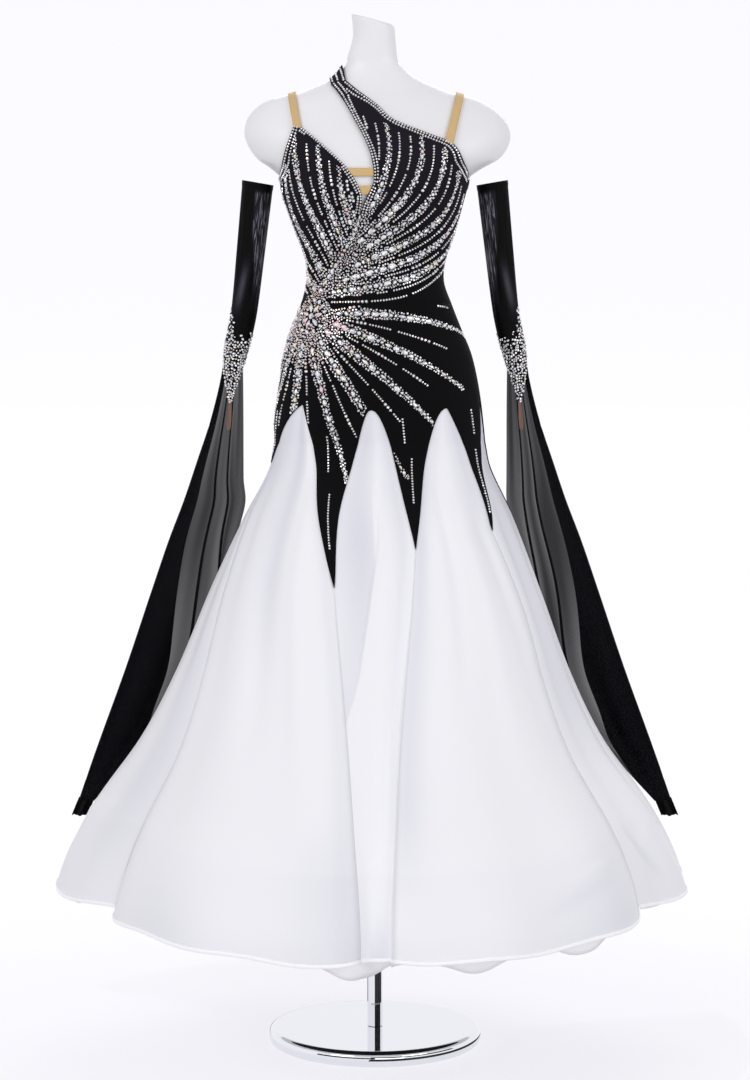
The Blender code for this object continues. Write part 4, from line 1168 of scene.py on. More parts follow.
# how grey a place on a gore is painted, 0 to 1: painted shade under the yoke, along folds, in the pleat and
# in the crinkles' troughs, painted highlights on ridges, and the crin showing through above the hem
def paintedShadingOfGore(number, u, v):
    cloth, height = skirtCloth, goreSpot(number, u, v)[1]
    down = (skirtArches[number][1] - height) / (skirtArches[number][1] - hemHeightAt(number, u))
    dark, reach = cloth["paintedYokeShade"]
    shade = dark * math.exp(-(down / reach) ** 2)
    for high, low, amount, width, first, last in paintedFoldShades[number]:
        fade = ease((down - first) / 0.15 + 0.5) * ease((last - down) / 0.25)
        shade += amount * math.exp(-(((u - mix(high, low, down)) / width) ** 2)) * fade
    shade += cloth["hemShade"] * ease((hemHeightAt(number, u) + skirtShape["hemBand"] - height) / 0.010)
    shade += pleatAt(number, u, down)[1] + cloth["paintedCrinkleShade"] * crinkleAt(number, u, down)
    return min(max(shade, 0.0), 1.0)


def buildGore(number):
    cloth = skirtCloth
    total = cloth["archRows"] + cloth["bodyRows"] + cloth["bandRows"]
    bm = bmesh.new()

    def place(u, v):
        degrees, height = goreSpot(number, u, v)
        angle = math.radians(degrees)
        point = lifted(gownPoint, angle, height, -0.5 * cloth["wall"] - cloth["goreInset"])
        point.z += hemFlutter(angle, height)
        return point

    # painted shading, with the crin's tone, stored for the satin's colour
    veil = bm.verts.layers.float.new("veil")
    for k, vertex in enumerate(placeGrid(bm, cloth["columns"], total, place, (0.4, 0.85))):
        row, column = divmod(k, cloth["columns"] + 1)
        vertex[veil] = paintedShadingOfGore(number, column / cloth["columns"], row / total)
    piece = addPiece(f"skirtGore{number + 1}", bm, "satin", f"skirt_gore_{number + 1}",
                     cloth["wall"])


# the crin under a gore's hem, its lower edge turned up over the front as a binding
def buildHemBand(number):
    cloth = skirtCloth
    rows, turnRows, upRows = 12, 5, 2
    total = rows + turnRows + upRows
    back, front = -cloth["bandInset"], cloth["bindingLift"]
    bands, hems = goreLevels(number)[1:]

    def place(u, v):
        row = (1 - v) * total
        if row <= rows:
            share, lift, drop = row / rows, back, 0.0
        elif row <= rows + turnRows:
            turn = math.pi * (row - rows) / turnRows
            share, lift = 1.0, mix(back, front, 0.5 - 0.5 * math.cos(turn))
            drop = cloth["bindingDrop"] * math.sin(turn)
        else:
            up = (row - rows - turnRows) / upRows
            share, lift, drop = 1.0 - cloth["binding"] / skirtShape["hemBand"] * up, front, 0.0
        degrees, height = gorePlace(number, u, bands, hems, share)
        angle = math.radians(degrees)
        point = lifted(gownPoint, angle, height, lift)
        point.z += hemFlutter(angle, height) - drop
        return point

    bm = bmesh.new()
    placeGrid(bm, cloth["columns"], total, place, (0.4, 0.14))
    piece = addPiece(f"hemBand{number + 1}", bm, "crin", f"hem_band_{number + 1}",
                     cloth["bandWall"])


def flouncePoint(angle, height):
    top, band, hem = skirtShape["flounceInsets"]
    low = skirtShape["hemBand"] + skirtShape["hemHeight"]
    share = (skirtShape["flounceHeight"] - height) / (skirtShape["flounceHeight"] - low)
    inset = mix(top, band, ease(share)) if share < 1 else mix(band, hem, ease(share - 1))
    return gownPoint(angle, height, inset + 0.001)


# a flounce under two gores, cut longer than they are, with a rolled lettuce edge
def buildFlounce(number):
    cloth = skirtCloth
    bm = bmesh.new()
    for gore in (2 * number, 2 * number + 1):
        tips, bands, hems = goreLevels(gore)
        highs = [mix(tip, band, 0.75) for tip, band in zip(tips, bands)]

        def place(u, v):
            degrees, height = gorePlace(gore, u, highs, hems, 1 - v)
            angle = math.radians(degrees)
            down = ease((0.35 - v) / 0.35)
            drop = mix(*skirtShape["flounceDrops"], 0.5 + 0.5 * math.cos(angle))
            wave = 0.6 * math.sin(23 * angle + 1.3) + 0.4 * math.sin(41 * angle + 0.4)
            point = lifted(flouncePoint, angle, height, -0.5 * cloth["wall"])
            out = Vector((math.sin(angle), -math.cos(angle), 0.0))
            point -= out * cloth["flounceRuffle"] * (0.5 + 0.5 * wave) * down
            for bearing, width, scallop in flounceScallops:
                off = (degrees - bearing + 180) % 360 - 180
                drop += scallop * math.exp(-abs(off / width) ** 2.4)
            point.z -= (drop * ease(1.4 - 1.4 * v) + cloth["flounceDip"] * 0.5 * (0.3 + 0.7 * wave)) * down
            return point

        placeGrid(bm, 72, 30, place, (0.45, 0.24))
    bmesh.ops.remove_doubles(bm, verts=bm.verts, dist=0.0005)
    piece = addPiece(f"underFlounce{number + 1}", bm, "satin", f"under_flounce_{number + 1}",
                     cloth["wall"])


for number in range(goreCount):
    buildGore(number)
    buildHemBand(number)
for number in range(goreCount // 2):
    buildFlounce(number)
print("skirt built")


# the detached sleeves

sleeveRows = (          # height, distance of its middle from the axis, half width, half depth
    (1.010, 0.2290, 0.0150, 0.0105),
    (1.065, 0.2245, 0.0175, 0.0130),
    (1.108, 0.2180, 0.0188, 0.0150),
    (1.134, 0.2120, 0.0196, 0.0160),
    (1.168, 0.2055, 0.0198, 0.0170),
    (1.260, 0.1950, 0.0215, 0.0185),
    (1.372, 0.1830, 0.0237, 0.0205),
)
floatRows = (           # height, x and y of the outer edge, inner edge's angle and lift off the skirt
    (1.109, 0.2367, 0.034, 103, 0.056),
    (1.060, 0.2440, 0.045, 106, 0.056),
    (0.990, 0.2620, 0.054, 107, 0.050),
    (0.925, 0.2840, 0.061, 106, 0.0375),
    (0.864, 0.3050, 0.068, 106, 0.0125),
    (0.797, 0.3310, 0.078, 109, 0.0046),
    (0.714, 0.3600, 0.088, 114, 0.0036),
    (0.589, 0.4030, 0.100, 118, 0.0026),
    (0.475, 0.4450, 0.106, 114, 0.0032),
    (0.416, 0.4660, 0.104, 106, 0.007),
    (0.372, 0.4810, 0.100, 102, 0.016),
)
sleeveCut = {
    "y": 0.022,
    "top": (1.371, 1.363),       # heights of the top opening, outer and inner side
    "bottom": 1.110,
    "tip": 1.024,
    "tipWidth": 0.06,
    "tipBow": 1.05,
    "wall": 0.0010,
    "tubeGrid": (72, 110),
    "cuffGrid": (28, 36),
    "topHem": 0.0005,            # how far the tube's top hem stands proud
    "chiffonWall": 0.0008,
    "loopLength": 0.045,
    "loopWidth": 0.021,
    "loopBand": 0.0034,
    "loopWall": 0.0009,
    "loopTurn": 75.0,            # degrees that it is turned away from the front
    "loopLean": 0.0015,
    "floatJoin": 0.030,
    "floatInner": 0.209,         # the float's inner edge hangs straight down here, from the cuff to the skirt
    "tailLength": 0.026,
    "tailSwing": 0.012,          # how far its end swings outwards
    "tailWall": 0.0012,
    "fill": 0.96,                # how far apart the cuff's stones stay
}
sleeveWrinkles = (      # angle in turns at the top and bottom, depth, width, lowest and highest point
    (-0.10, -0.06, 0.0016, 0.035, 1.15, 1.36),
    (0.02, 0.03, 0.0012, 0.025, 1.18, 1.34),
    (0.10, 0.07, 0.0018, 0.030, 1.12, 1.37),
    (0.17, 0.13, 0.0014, 0.028, 1.20, 1.35),
    (-0.20, -0.17, 0.0015, 0.030, 1.14, 1.33),
    (0.38, 0.40, 0.0018, 0.035, 1.13, 1.36),
    (-0.36, -0.40, 0.0016, 0.035, 1.16, 1.35),
)


def sleevePoint(sideSign, angle, height, wrinkled=True):
    middle, halfWidth, halfDepth = smoothRow(sleeveRows, height)
    dent = 0.0
    if wrinkled:
        turn = sideSign * angle / math.tau
        turn = turn - round(turn)
        for high, low, depth, width, bottom, top in sleeveWrinkles:
            at = mix(low, high, (height - bottom) / (top - bottom))
            fade = ease((height - bottom) / 0.06) * ease((top - height) / 0.05)
            dent += depth * math.exp(-(((turn - at) / width) ** 2)) * fade
    x = sideSign * middle + (halfWidth - dent) * math.sin(angle)
    return Vector((x, sleeveCut["y"] - (halfDepth - dent) * math.cos(angle), height))


def floatEdges(sideSign, height):
    x, y, angle, lift = smoothRow(floatRows[::-1], height)
    outer = Vector((sideSign * x, y, height))
    return outer, gownPoint(sideSign * math.radians(angle), height, -lift)


# painted sheen on the tube's stretched mesh, in streaks and on its back, and a leaf-shaped painted highlight
# near the cuff
def paintedSleeveSheen(sideSign, angle, height):
    inwards = -sideSign * math.sin(angle)
    starts = mix(-0.15, 0.42, ease((1.33 - height) / 0.14))
    streaked = ease((inwards - starts) / 0.22) * ease((height - 1.16) / 0.08) * ease((1.362 - height) / 0.01)
    back = 0.5 * ease(-math.cos(angle) * 3) * ease((1.358 - height) / 0.02)
    across, up = (inwards + 0.42 - 5.0 * (height - 1.20)) / 0.30, (height - 1.205) / 0.036
    leaf = math.exp(-abs(across) ** 3 - abs(up) ** 3)
    return min(streaked * ease(math.cos(angle) * 4 + 0.6) + back, 1.0), 0.5 * leaf * ease(math.cos(angle) * 4)


def buildSleeve(name, sideSign):
    cut = sleeveCut
    label, (columns, rows) = name.title(), cut["tubeGrid"]

    def ring(angle, height):
        return sleevePoint(sideSign, angle, height)

    # the angle round the tube, whose seam faces away
    def turned(u):
        return math.tau * u + 0.5 * math.pi * sideSign

    def placeTube(u, v):
        angle = turned(u)
        share = 0.5 - 0.5 * sideSign * math.sin(angle)
        height = mix(cut["bottom"], mix(*cut["top"], share), v)
        hem = cut["topHem"] * ease((v - 0.965) / 0.01)
        return lifted(ring, angle, height, 0.5 * cut["wall"] + hem)

    def placeCuff(u, v):
        half = 0.5 * math.pi * mix(cut["tipWidth"], 1.0, v ** cut["tipBow"])
        height = mix(cut["tip"], cut["bottom"] + 0.001, v)
        return lifted(ring, mix(-half, half, u), height, 0.5 * cut["wall"])

    bm = bmesh.new()
    lustre, patch = bm.verts.layers.float.new("lustre"), bm.verts.layers.float.new("patch")
    for k, vertex in enumerate(placeGrid(bm, columns, rows, placeTube, (0.13, 0.26))):
        row, column = divmod(k, columns + 1)
        height = mix(cut["bottom"], cut["top"][0], row / rows)
        vertex[lustre], vertex[patch] = paintedSleeveSheen(sideSign, turned(column / columns), height)
    bmesh.ops.remove_doubles(bm, verts=bm.verts, dist=1e-6)
    tube = addPiece(f"sleeve{label}Tube", bm, "mesh", f"sleeve_{name}_tube", cut["wall"])

    bm = bmesh.new()
    placeGrid(bm, *cut["cuffGrid"], placeCuff, (0.06, 0.087))
    cuff = addPiece(f"sleeve{label}Cuff", bm, "mesh", f"sleeve_{name}_cuff", cut["wall"])
    buildLoop(name, label, sideSign, ring(0.0, cut["tip"] + 0.0005))
    buildFloat(name, label, sideSign)
    buildTail(name, label, sideSign)


# a loop of flat elastic, nearly edge on, hung from the cuff's point
def buildLoop(name, label, sideSign, top):
    cut = sleeveCut
    inset = 0.0007
    halfWidth, halfLength = 0.5 * cut["loopWidth"] - inset, 0.5 * cut["loopLength"] - inset
    middle = top - Vector((0.0, 0.0, halfLength + inset))
    facing = math.radians(cut["loopTurn"])
    bandWay = Vector((-sideSign * math.sin(facing), math.cos(facing), 0.0))

    def place(u, v):
        turn = math.tau * v
        across = halfWidth * math.sin(turn) * (0.55 + 0.45 * ease(0.5 - 0.5 * math.cos(turn)))
        up = math.cos(turn)
        x = sideSign * (across * math.cos(facing) + cut["loopLean"] * (1 - up))
        spot = middle + Vector((x, across * math.sin(facing), halfLength * up))
        return spot + bandWay * cut["loopBand"] * (0.5 - u)

    bm = bmesh.new()
    placeGrid(bm, 3, 48, place, (cut["loopBand"], 0.11))
    bmesh.ops.remove_doubles(bm, verts=bm.verts, dist=1e-6)
    bmesh.ops.recalc_face_normals(bm, faces=bm.faces)
    addPiece(f"sleeve{label}FingerLoop", bm, "loopElastic", f"sleeve_{name}_finger_loop",
             cut["loopWall"])


floatPleat = (          # height, share of the width that lies in three layers, places of two small tucks
    (0.400, 1.00, 0.04, 0.20),
    (0.500, 0.61, 0.05, 0.22),
    (0.584, 0.53, 0.06, 0.27),
    (0.646, 0.44, 0.08, 0.33),
    (0.737, 0.32, 0.15, 0.42),
    (0.828, 0.23, 0.27, 0.50),
    (0.980, 0.18, 0.38, 0.62),
    (1.109, 0.18, 0.42, 0.66),
)


# the long float: one chiffon panel, tucked twice and pleated back on itself in its outer part
def buildFloat(name, label, sideSign):
    cut = sleeveCut
    highest, lowest = floatRows[0][0], floatRows[-1][0]

    def surface(outward, height, layer):
        outer, inner = floatEdges(sideSign, height)
        inner.x = mix(inner.x, sideSign * cut["floatInner"], ease((height - 0.84) / 0.06))
        point = inner.lerp(outer, outward)
        down = ease((highest - height) / 0.25)
        end = ease((height - lowest) / 0.15)
        folds = 0.0048 * math.sin(math.tau * (2.2 * outward + 0.15))
        folds += 0.0025 * math.sin(math.tau * (5.3 * outward + 0.4 * down))
        point.y += folds * down * end * math.sin(math.pi * min(max(outward, 0.0), 1.0)) + layer
        top = sleevePoint(sideSign, sideSign * math.pi * mix(-1.5, -0.5, 1 - outward), height, False)
        return point.lerp(top, ease((height - highest) / cut["floatJoin"] + 1))

    # share along the cut edge, how far out it lies, how far back: the panel's way across
    def turnsAt(height):
        pleat, first, second = smoothRow(floatPleat, height)
        back = 1 - min(pleat, 0.985)
        near, far = (ease((back - 0.08 - at) / 0.06) for at in (first, second))
        return ((0.0, 0.0, 0.0), (0.14, first, 0.0), (0.17, first - 0.035 * near, 0.0016 * near),
                (0.20, first + 0.012, 0.0032 * near), (0.25, mix(first, second, 0.5), 0.0),
                (0.30, second, 0.0), (0.33, second - 0.035 * far, 0.0016 * far),
                (0.36, second + 0.012, 0.0032 * far), (0.41, mix(second, 1.0, 0.4), 0.0), (0.50, 1.0, 0.0),
                (0.75, back, 0.0042), (1.0, 0.985, 0.0084))

    def place(u, v):
        height = mix(lowest, highest, v)
        share = 1 - u if sideSign > 0 else u
        turns = turnsAt(height)
        for (a, outA, layerA), (b, outB, layerB) in zip(turns, turns[1:]):
            if share <= b + 1e-9:
                t = (share - a) / (b - a)
                return surface(mix(outA, outB, t), height, mix(layerA, layerB, ease(t)))
        return surface(0.985, height, 0.0084)

    bm = bmesh.new()
    placeGrid(bm, 100, 96, place, (0.26, 0.76))
    piece = addPiece(f"sleeve{label}Float", bm, "chiffon", f"sleeve_{name}_float",
                     cut["chiffonWall"])


# the float's last few centimetres, gathered
def buildTail(name, label, sideSign):
    cut, lowest = sleeveCut, floatRows[-1][0]
    ends = floatEdges(sideSign, lowest)[::-1]           # inner, then outer

    def place(u, v):
        share, down = (u if sideSign > 0 else 1 - u), 1 - v
        inner, outer = (end.x + sideSign * cut["tailSwing"] * down for end in ends)
        pinch = 0.0006 * math.sin(math.tau * 3.5 * share + 0.8)
        y = mix(ends[0].y, ends[1].y, share) + 0.004
        y += (0.0030 + 0.0025 * down) * math.sin(math.tau * 1.5 * share)
        z = lowest + 0.004 - (cut["tailLength"] + 0.003) * down + pinch * down
        return Vector((mix(inner, outer, share), y, z))

    bm = bmesh.new()
    placeGrid(bm, 40, 16, place, (0.06, 0.03))
    tail = addPiece(f"sleeve{label}Tail", bm, "mesh", f"sleeve_{name}_tail", cut["tailWall"])


buildSleeve("left", -1)
buildSleeve("right", 1)
print("sleeves built")


# the stones: a plain sunburst from the hip, edging rows and stoned cuffs

stoneKit = {
    "seed": 23,
    "gap": 0.0007,               # between small stones in a row
    "rowGaps": 0.0,              # share of a row's stones left out
    "rowStray": 0.0,             # how far they stray to the side
    "small": 0.0019,             # radii
    "large": 0.0027,
    "tight": 0.95,               # how close two stones may come, of their radii together
    "rise": 0.62,                # height of a stone, of its radius
    "table": 0.60,               # width of its flat top, of its own width
    "tallest": 0.0028,
    "bigFrom": 0.0028,           # half length past which a stone has the finer cut
    "cellSize": 0.008,
    "lift": yokeCut["wall"] + yokeCut["lift"],  # the outer face of the velvet
    "strapLift": 0.0021,
    "rosette": (-0.098, 1.160),  # x and height of the middle
    "oval": (0.0064, 0.0046),    # half length and half width
    "navette": (0.0074, 0.0033),
    "round": 0.0037,
    "bandWidths": (0.0094, 0.0036),  # half width of a band where it starts and ends
    "bandFill": 15000,           # small stones tried for each metre of a band
    "edgeRows": (0.0023, 0.0068),  # how far inside an edge the rows of an edging run
}
dice = random.Random(stoneKit["seed"])
stoneCells = {}
stoneAreas = {}


def cellOf(point):
    return tuple(math.floor(value / stoneKit["cellSize"]) for value in point)


def roomFor(spheres, spread):
    for point, radius in spheres:
        home = cellOf(point)
        for step in product((-1, 0, 1), repeat=3):
            cell = tuple(a + b for a, b in zip(home, step))
            for other, far in stoneCells.get(cell, ()):
                if (other - point).length < spread * (radius + far):
                    return False
    return True


# glues a stone on, if there is room for it
def setStone(area, point, normal, along, halfLong, halfWide, navette=False, spread=stoneKit["tight"]):
    along = (along - normal * along.dot(normal)).normalized()
    reach = max(halfLong - halfWide, 0.0)
    spheres = [(point, halfWide)]
    if reach > 0.0005:
        spheres += [(point + along * reach, 0.85 * halfWide), (point - along * reach, 0.85 * halfWide)]
    if not roomFor(spheres, spread):
        return False
    for spot, radius in spheres:
        stoneCells.setdefault(cellOf(spot), []).append((spot, radius))
    stoneAreas.setdefault(area, []).append((point, normal, along, halfLong, halfWide, navette))
    return True


# a line on a surface, walked by its real length and stepped off sideways
class StonePath:

    def __init__(self, surface, spots):
        self.surface, self.spots = surface, spots
        points = [surface(*spot) for spot in spots]
        self.lengths = [0.0]
        for a, b in zip(points, points[1:]):
            self.lengths.append(self.lengths[-1] + (b - a).length)
        self.length = self.lengths[-1]

    def spotAt(self, distance):
        low = min(max(bisect_right(self.lengths, distance) - 1, 0), len(self.spots) - 2)
        span = self.lengths[low + 1] - self.lengths[low]
        share = (distance - self.lengths[low]) / span if span > 1e-9 else 0.0
        return [mix(a, b, share) for a, b in zip(self.spots[low], self.spots[low + 1])]

    # point, normal and way on, so far along the line and so far to its left
    def at(self, distance, offset=0.0):
        angle, height = self.spotAt(distance)
        ahead, behind = (self.surface(*self.spotAt(distance + step)) for step in (0.002, -0.002))
        along = (ahead - behind).normalized()
        normal = normalAt(self.surface, angle, height)
        if offset:
            way = normal.cross(along)
            wide = (self.surface(angle + 0.01, height) - self.surface(angle - 0.01, height)) / 0.02
            tall = (self.surface(angle, height + 0.002) - self.surface(angle, height - 0.002)) / 0.004
            angle += offset * way.dot(wide) / wide.length_squared
            height += offset * way.dot(tall) / tall.length_squared
            normal = normalAt(self.surface, angle, height)
        return self.surface(angle, height) + normal * stoneKit["lift"], normal, along, angle, height


# a row of small round stones along a line
def strew(area, path, inside, start, end, offset=0.0, radius=stoneKit["small"]):
    pitch = 2 * radius + stoneKit["gap"]
    distance = start + 0.5 * pitch
    while distance < end:
        if dice.random() >= stoneKit["rowGaps"]:
            aside = offset + stoneKit["rowStray"] * dice.uniform(-1, 1)
            point, normal, along, angle, height = path.at(distance, aside)
            if inside(angle, height, radius):
                setStone(area, point, normal, along, radius, radius)
        distance += pitch


# a row of ovals, rounds and navettes that shrink towards the far end, with small stones close round them
def strewBand(area, path, inside, start, end, full=1.0):
    distance, length = start, end - start
    small = stoneKit["small"]
    while distance < end:
        share = (distance - start) / length
        size = mix(1.0, 0.68, ease((share - 0.25) / 0.70)) * full * dice.uniform(0.85, 1.15)
        kind = dice.random()
        if share > 0.95 or size < 0.48:
            halfLong = halfWide = small
        elif kind < 0.45:
            halfLong, halfWide = (value * size for value in stoneKit["oval"])
        elif kind < 0.62:
            halfLong, halfWide = (value * size for value in stoneKit["navette"])
        else:
            halfLong = halfWide = stoneKit["round"] * size
        distance += halfLong
        point, normal, along, angle, height = path.at(distance, 0.0)
        if inside(angle, height, halfWide + 0.0006):
            pointed = 0.45 <= kind < 0.62 and halfLong > halfWide
            setStone(area, point, normal, along, halfLong, halfWide, pointed)
        distance += halfLong + dice.uniform(0.0004, 0.0022)
    for _ in range(int(length * stoneKit["bandFill"] * full)):
        share = dice.random()
        halfBand = full * mix(*stoneKit["bandWidths"], ease((share - 0.10) / 0.90))
        offset = halfBand * dice.uniform(-1, 1)
        radius = dice.choice((0.0012, 0.0016, small, small, 0.0022))
        point, normal, along, angle, height = path.at(start + share * length, offset)
        if inside(angle, height, radius):
            setStone(area, point, normal, along, radius, radius)


def bezier(a, b, c, d, steps=48):
    shares = [i / steps for i in range(steps + 1)]
    return [[(1 - t)**3 * p + 3 * (1 - t)**2 * t * q + 3 * (1 - t) * t * t * r + t**3 * s
             for p, q, r, s in zip(a, b, c, d)] for t in shares]


# angle and height of the figure's front at x
def spotAtX(x, height):
    shift, half = smoothRow(figureRows, height)[:2]
    return [angleAt(min(max(x, shift - 0.99 * half), shift + 0.99 * half), height), height]


# spots on a ray between two places (x, height), leaving and arriving at headings in degrees
def fountain(start, away, end, arriving, bow):
    reach = bow * math.dist(start, end)
    low, high = ((at[0] + way * math.cos(heading), at[1] + way * math.sin(heading)) for at, way, heading in (
        (start, reach, math.radians(away)), (end, -reach, math.radians(arriving))))
    return [spotAtX(*spot) for spot in bezier(start, low, high, end)]


# x and height a share along a line of corners, by length
def alongLine(corners, share):
    lengths = [math.dist(a, b) for a, b in zip(corners, corners[1:])]
    left = share * sum(lengths)
    for length, a, b in zip(lengths, corners, corners[1:]):
        if left <= length:
            return [mix(p, q, left / length) for p, q in zip(a, b)]
        left -= length
    return list(corners[-1])


# spots on a line that sets off at a heading in degrees, 0 to the right and -90 down, and bends
def marched(surface, angle, height, heading, bend, length, step=0.004):
    spots = [[angle, height]]
    for _ in range(int(length / step)):
        here = surface(angle, height)
        wide = (surface(angle + 0.01, height) - here).length / 0.01
        tall = (surface(angle, height + 0.002) - here).length / 0.002
        angle += step * math.cos(math.radians(heading)) / wide
        height += step * math.sin(math.radians(heading)) / tall
        heading += bend * step
        spots.append([angle, height])
    return spots


# whether a place on the figure lies inside a front piece, so far from its edges and its top
def insideFront(table, top, angle, height, margin):
    if not skirtShape["waist"] + margin < height < top or abs(angle) >= math.radians(89):
        return False
    left, right = (edgeX(table, column, 1000 * height) / 1000 for column in (0, 2))
    return left + margin < figurePoint(angle, height).x < right - margin


def insideCup(angle, height, margin):
    return insideFront(cupRows, 1.450, angle, height, margin)


def insideWrap(angle, height, margin):
    return insideFront(wrapRows, 1.518, angle, height, margin)


def insideYokeOrWrap(angle, height, margin):
    if height > skirtShape["waist"] - margin:
        return height > skirtShape["waist"] + margin and insideWrap(angle, height, margin)
    return insideYoke(angle, height, margin)


def insideYoke(angle, height, margin):
    if height > skirtShape["waist"] + 0.001:
        return False
    degrees = math.degrees(angle)
    first = seamAngle(0, 1.0)
    turned = first + (degrees - first) % 360
    number = max(k for k in range(goreCount) if seamAngle(k, 1.0) <= turned)
    top, high = skirtArches[number][:2]
    if height > high + margin:
        return True
    side = 0 if turned < top else 1
    t = max((high - height) / (high - seamValue(number + side, 1)), 0.02)
    edge = archEdge(number, side, t)[0] if t < 1 else seamAngle(number + side, 1.0)
    keep = math.degrees(margin / 0.15) + 0.4
    return t < 0.99 and (turned < edge - keep if side == 0 else turned > edge + keep)


def anywhere(angle, height, margin):
    return True


# a line on the figure along an edge of a front piece, between two row numbers
def edgePath(table, column, first, last, steps=60):
    spots = [edgeAt(table, column, mix(first, last, i / steps)) for i in range(steps + 1)]
    return StonePath(figurePoint, [spotAtX(x / 1000, height / 1000) for x, height in spots])


# edgings: rows that keep so far inside an edge
def edgeBodice():
    small = stoneKit["small"]
    fronts = ((cupRows, 2, 3.4, 10.0, 1), (wrapRows, 0, 3.5, 13.0, -1), (wrapRows, 2, 5.6, 13.0, 1))
    for edges in (fronts, ((cupRows, 0, 5.6, 10.0, -1),)):
        for inset in stoneKit["edgeRows"]:
            for table, column, first, last, way in edges:
                path = edgePath(table, column, first, last)
                strew("bodice", path, anywhere, 0.0, path.length, way * inset)
    for sign in (-1, 1):
        angles = [math.pi - sign * mix(-0.01, 0.49 * math.pi, i / 39) for i in range(40)]
        path = StonePath(figurePoint, [[angle, backTop(angle) - 0.0024] for angle in angles])
        strew("bodiceBack", path, anywhere, 0.0, path.length)
    ends = straps[-1][-1]
    for share in (0.14, 0.5, 0.86):
        at = -0.985
        while at < 0.96:
            point, normal = strapFrame(ends, share, at)
            ahead = strapFrame(ends, share, at + 0.01)[0]
            setStone("halter", point + normal * stoneKit["strapLift"], normal, ahead - point, small, small)
            at += (2 * small + stoneKit["gap"]) / max((ahead - point).length / 0.01, 0.02)


# two rings of navettes round a round stone, with ovals and small stones between and round them
def layRosette():
    x, height = stoneKit["rosette"]
    middle = angleAt(x, height)

    def rayAt(heading, length):
        return StonePath(figurePoint, marched(figurePoint, middle, height, heading, 0.0, length, 0.003))

    for count, away, halfLong, halfWide, turn in (
            (1, 0.0, 0.0050, 0.0050, 0.0), (7, 0.0138, 0.0080, 0.0038, 0.0), (7, 0.0150, 0.0030, 0.0030, 0.5),
            (14, 0.0258, 0.0042, 0.0030, 0.25)):
        for k in range(count):
            point, normal, along = rayAt(360 * (k + turn) / count + 11, 0.06).at(max(away, 0.0001))[:3]
            setStone("rosette", point, normal, along, halfLong, halfWide, halfLong > 1.8 * halfWide)
    for _ in range(1100):
        heading, away = dice.uniform(0, 360), 0.036 * dice.random() ** 0.5
        point, normal, along = rayAt(heading, away + 0.006).at(away)[:3]
        radius = dice.choice((0.0012, 0.0016, 0.0019, 0.0023))
        setStone("rosette", point, normal, along, radius, radius)


plumeKit = {
    # how many rays each side of the wrap seam throws, which of them are wide bands, and where they end
    "cupRays": 12,
    "cupBands": (1, 3, 5, 7, 9),
    "cupEnds": ((-0.146, 1.330), (-0.142, 1.375), (-0.132, 1.420), (-0.122, 1.440), (-0.106, 1.434),
                (-0.084, 1.418), (-0.062, 1.398), (-0.044, 1.372), (-0.036, 1.350)),
    "wrapRays": 18,
    "wrapBands": (1, 4, 7, 9, 11, 13, 15),
    "wrapEnds": ((-0.052, 1.494), (-0.016, 1.468), (0.040, 1.447), (0.104, 1.422), (0.130, 1.384),
                 (0.136, 1.350), (0.135, 1.315), (0.127, 1.270)),
    "hipRays": 23,
    "hipReaches": (0.24, 0.28, 0.235, 0.275, 0.225, 0.285, 0.23, 0.30, 0.235, 0.27, 0.215, 0.255, 0.19, 0.235,
                   0.185, 0.27, 0.165, 0.185, 0.13, 0.175, 0.13, 0.16, 0.12),
    # rows on the yoke's points: point, where they start and end on the way down, how far aside
    "pointRows": ((1, 0.30, 0.52, -0.012), (1, 0.62, 0.86, 0.000), (2, 0.15, 0.40, -0.014),
                  (2, 0.50, 0.78, 0.004), (3, 0.10, 0.38, 0.004), (3, 0.50, 0.90, 0.001),
                  (0, 0.25, 0.60, 0.004), (0, 0.55, 0.92, 0.002), (4, 0.2, 0.55, 0.0), (6, 0.45, 0.85, 0.0),
                  (5, 0.35, 0.75, 0.0), (7, 0.35, 0.75, 0.0)),
}


# a ray on the front: a wide band of stones, or a single broken row
def layRay(spots, inside, number, bands, full):
    ray = StonePath(figurePoint, spots)
    if number in bands:
        strewBand("bodice", ray, inside, 0.008, ray.length, full)
    else:
        brokenRow("bodice", ray, inside, 0.006, ray.length, number)


# rays that leave the wrap seam on both sides, bow outwards and climb to the top edges
def layPlume():
    kit = plumeKit
    seam = [[value / 1000 for value in edgeAt(cupRows, 2, mix(0.0, 3.7, i / 60))] for i in range(61)]
    path = StonePath(figurePoint, [spotAtX(*spot) for spot in seam])
    strewBand("bodice", path, anywhere, 0.010, path.length, 0.80)
    for i in range(kit["cupRays"]):
        share = i / (kit["cupRays"] - 1)
        spots = fountain(alongLine(seam, mix(0.02, 0.90, share)), mix(122, 104, share),
                         alongLine(kit["cupEnds"], share), mix(86, 96, share), 0.42)
        layRay(spots, insideCup, i, kit["cupBands"], mix(0.95, 0.72, share))
    for i in range(kit["wrapRays"]):
        share = i / (kit["wrapRays"] - 1)
        spots = fountain(alongLine(seam, mix(0.90, 0.02, share ** 0.75)), mix(72, 3, share ** 1.1),
                         alongLine(kit["wrapEnds"], share), mix(118, 66, share), mix(0.36, 0.46, share))
        layRay(spots, insideWrap, i, kit["wrapBands"], mix(0.8, 1.0, share))


# a single row with a gap or two in it, a few stones of it larger
def brokenRow(area, ray, inside, start, end, number):
    gaps = [mix(start, end, share) for share in ((0.42,), (0.55,), (0.35, 0.72), (0.62,))[number % 4]]
    spans, large = [start] + gaps + [end], stoneKit["large"]
    for low, high in zip(spans, spans[1:]):
        middle = 0.5 * (low + high)
        strew(area, ray, inside, middle - 3.5 * large, middle + 3.5 * large, 0.0, large)
        strew(area, ray, inside, low, high - 0.007)


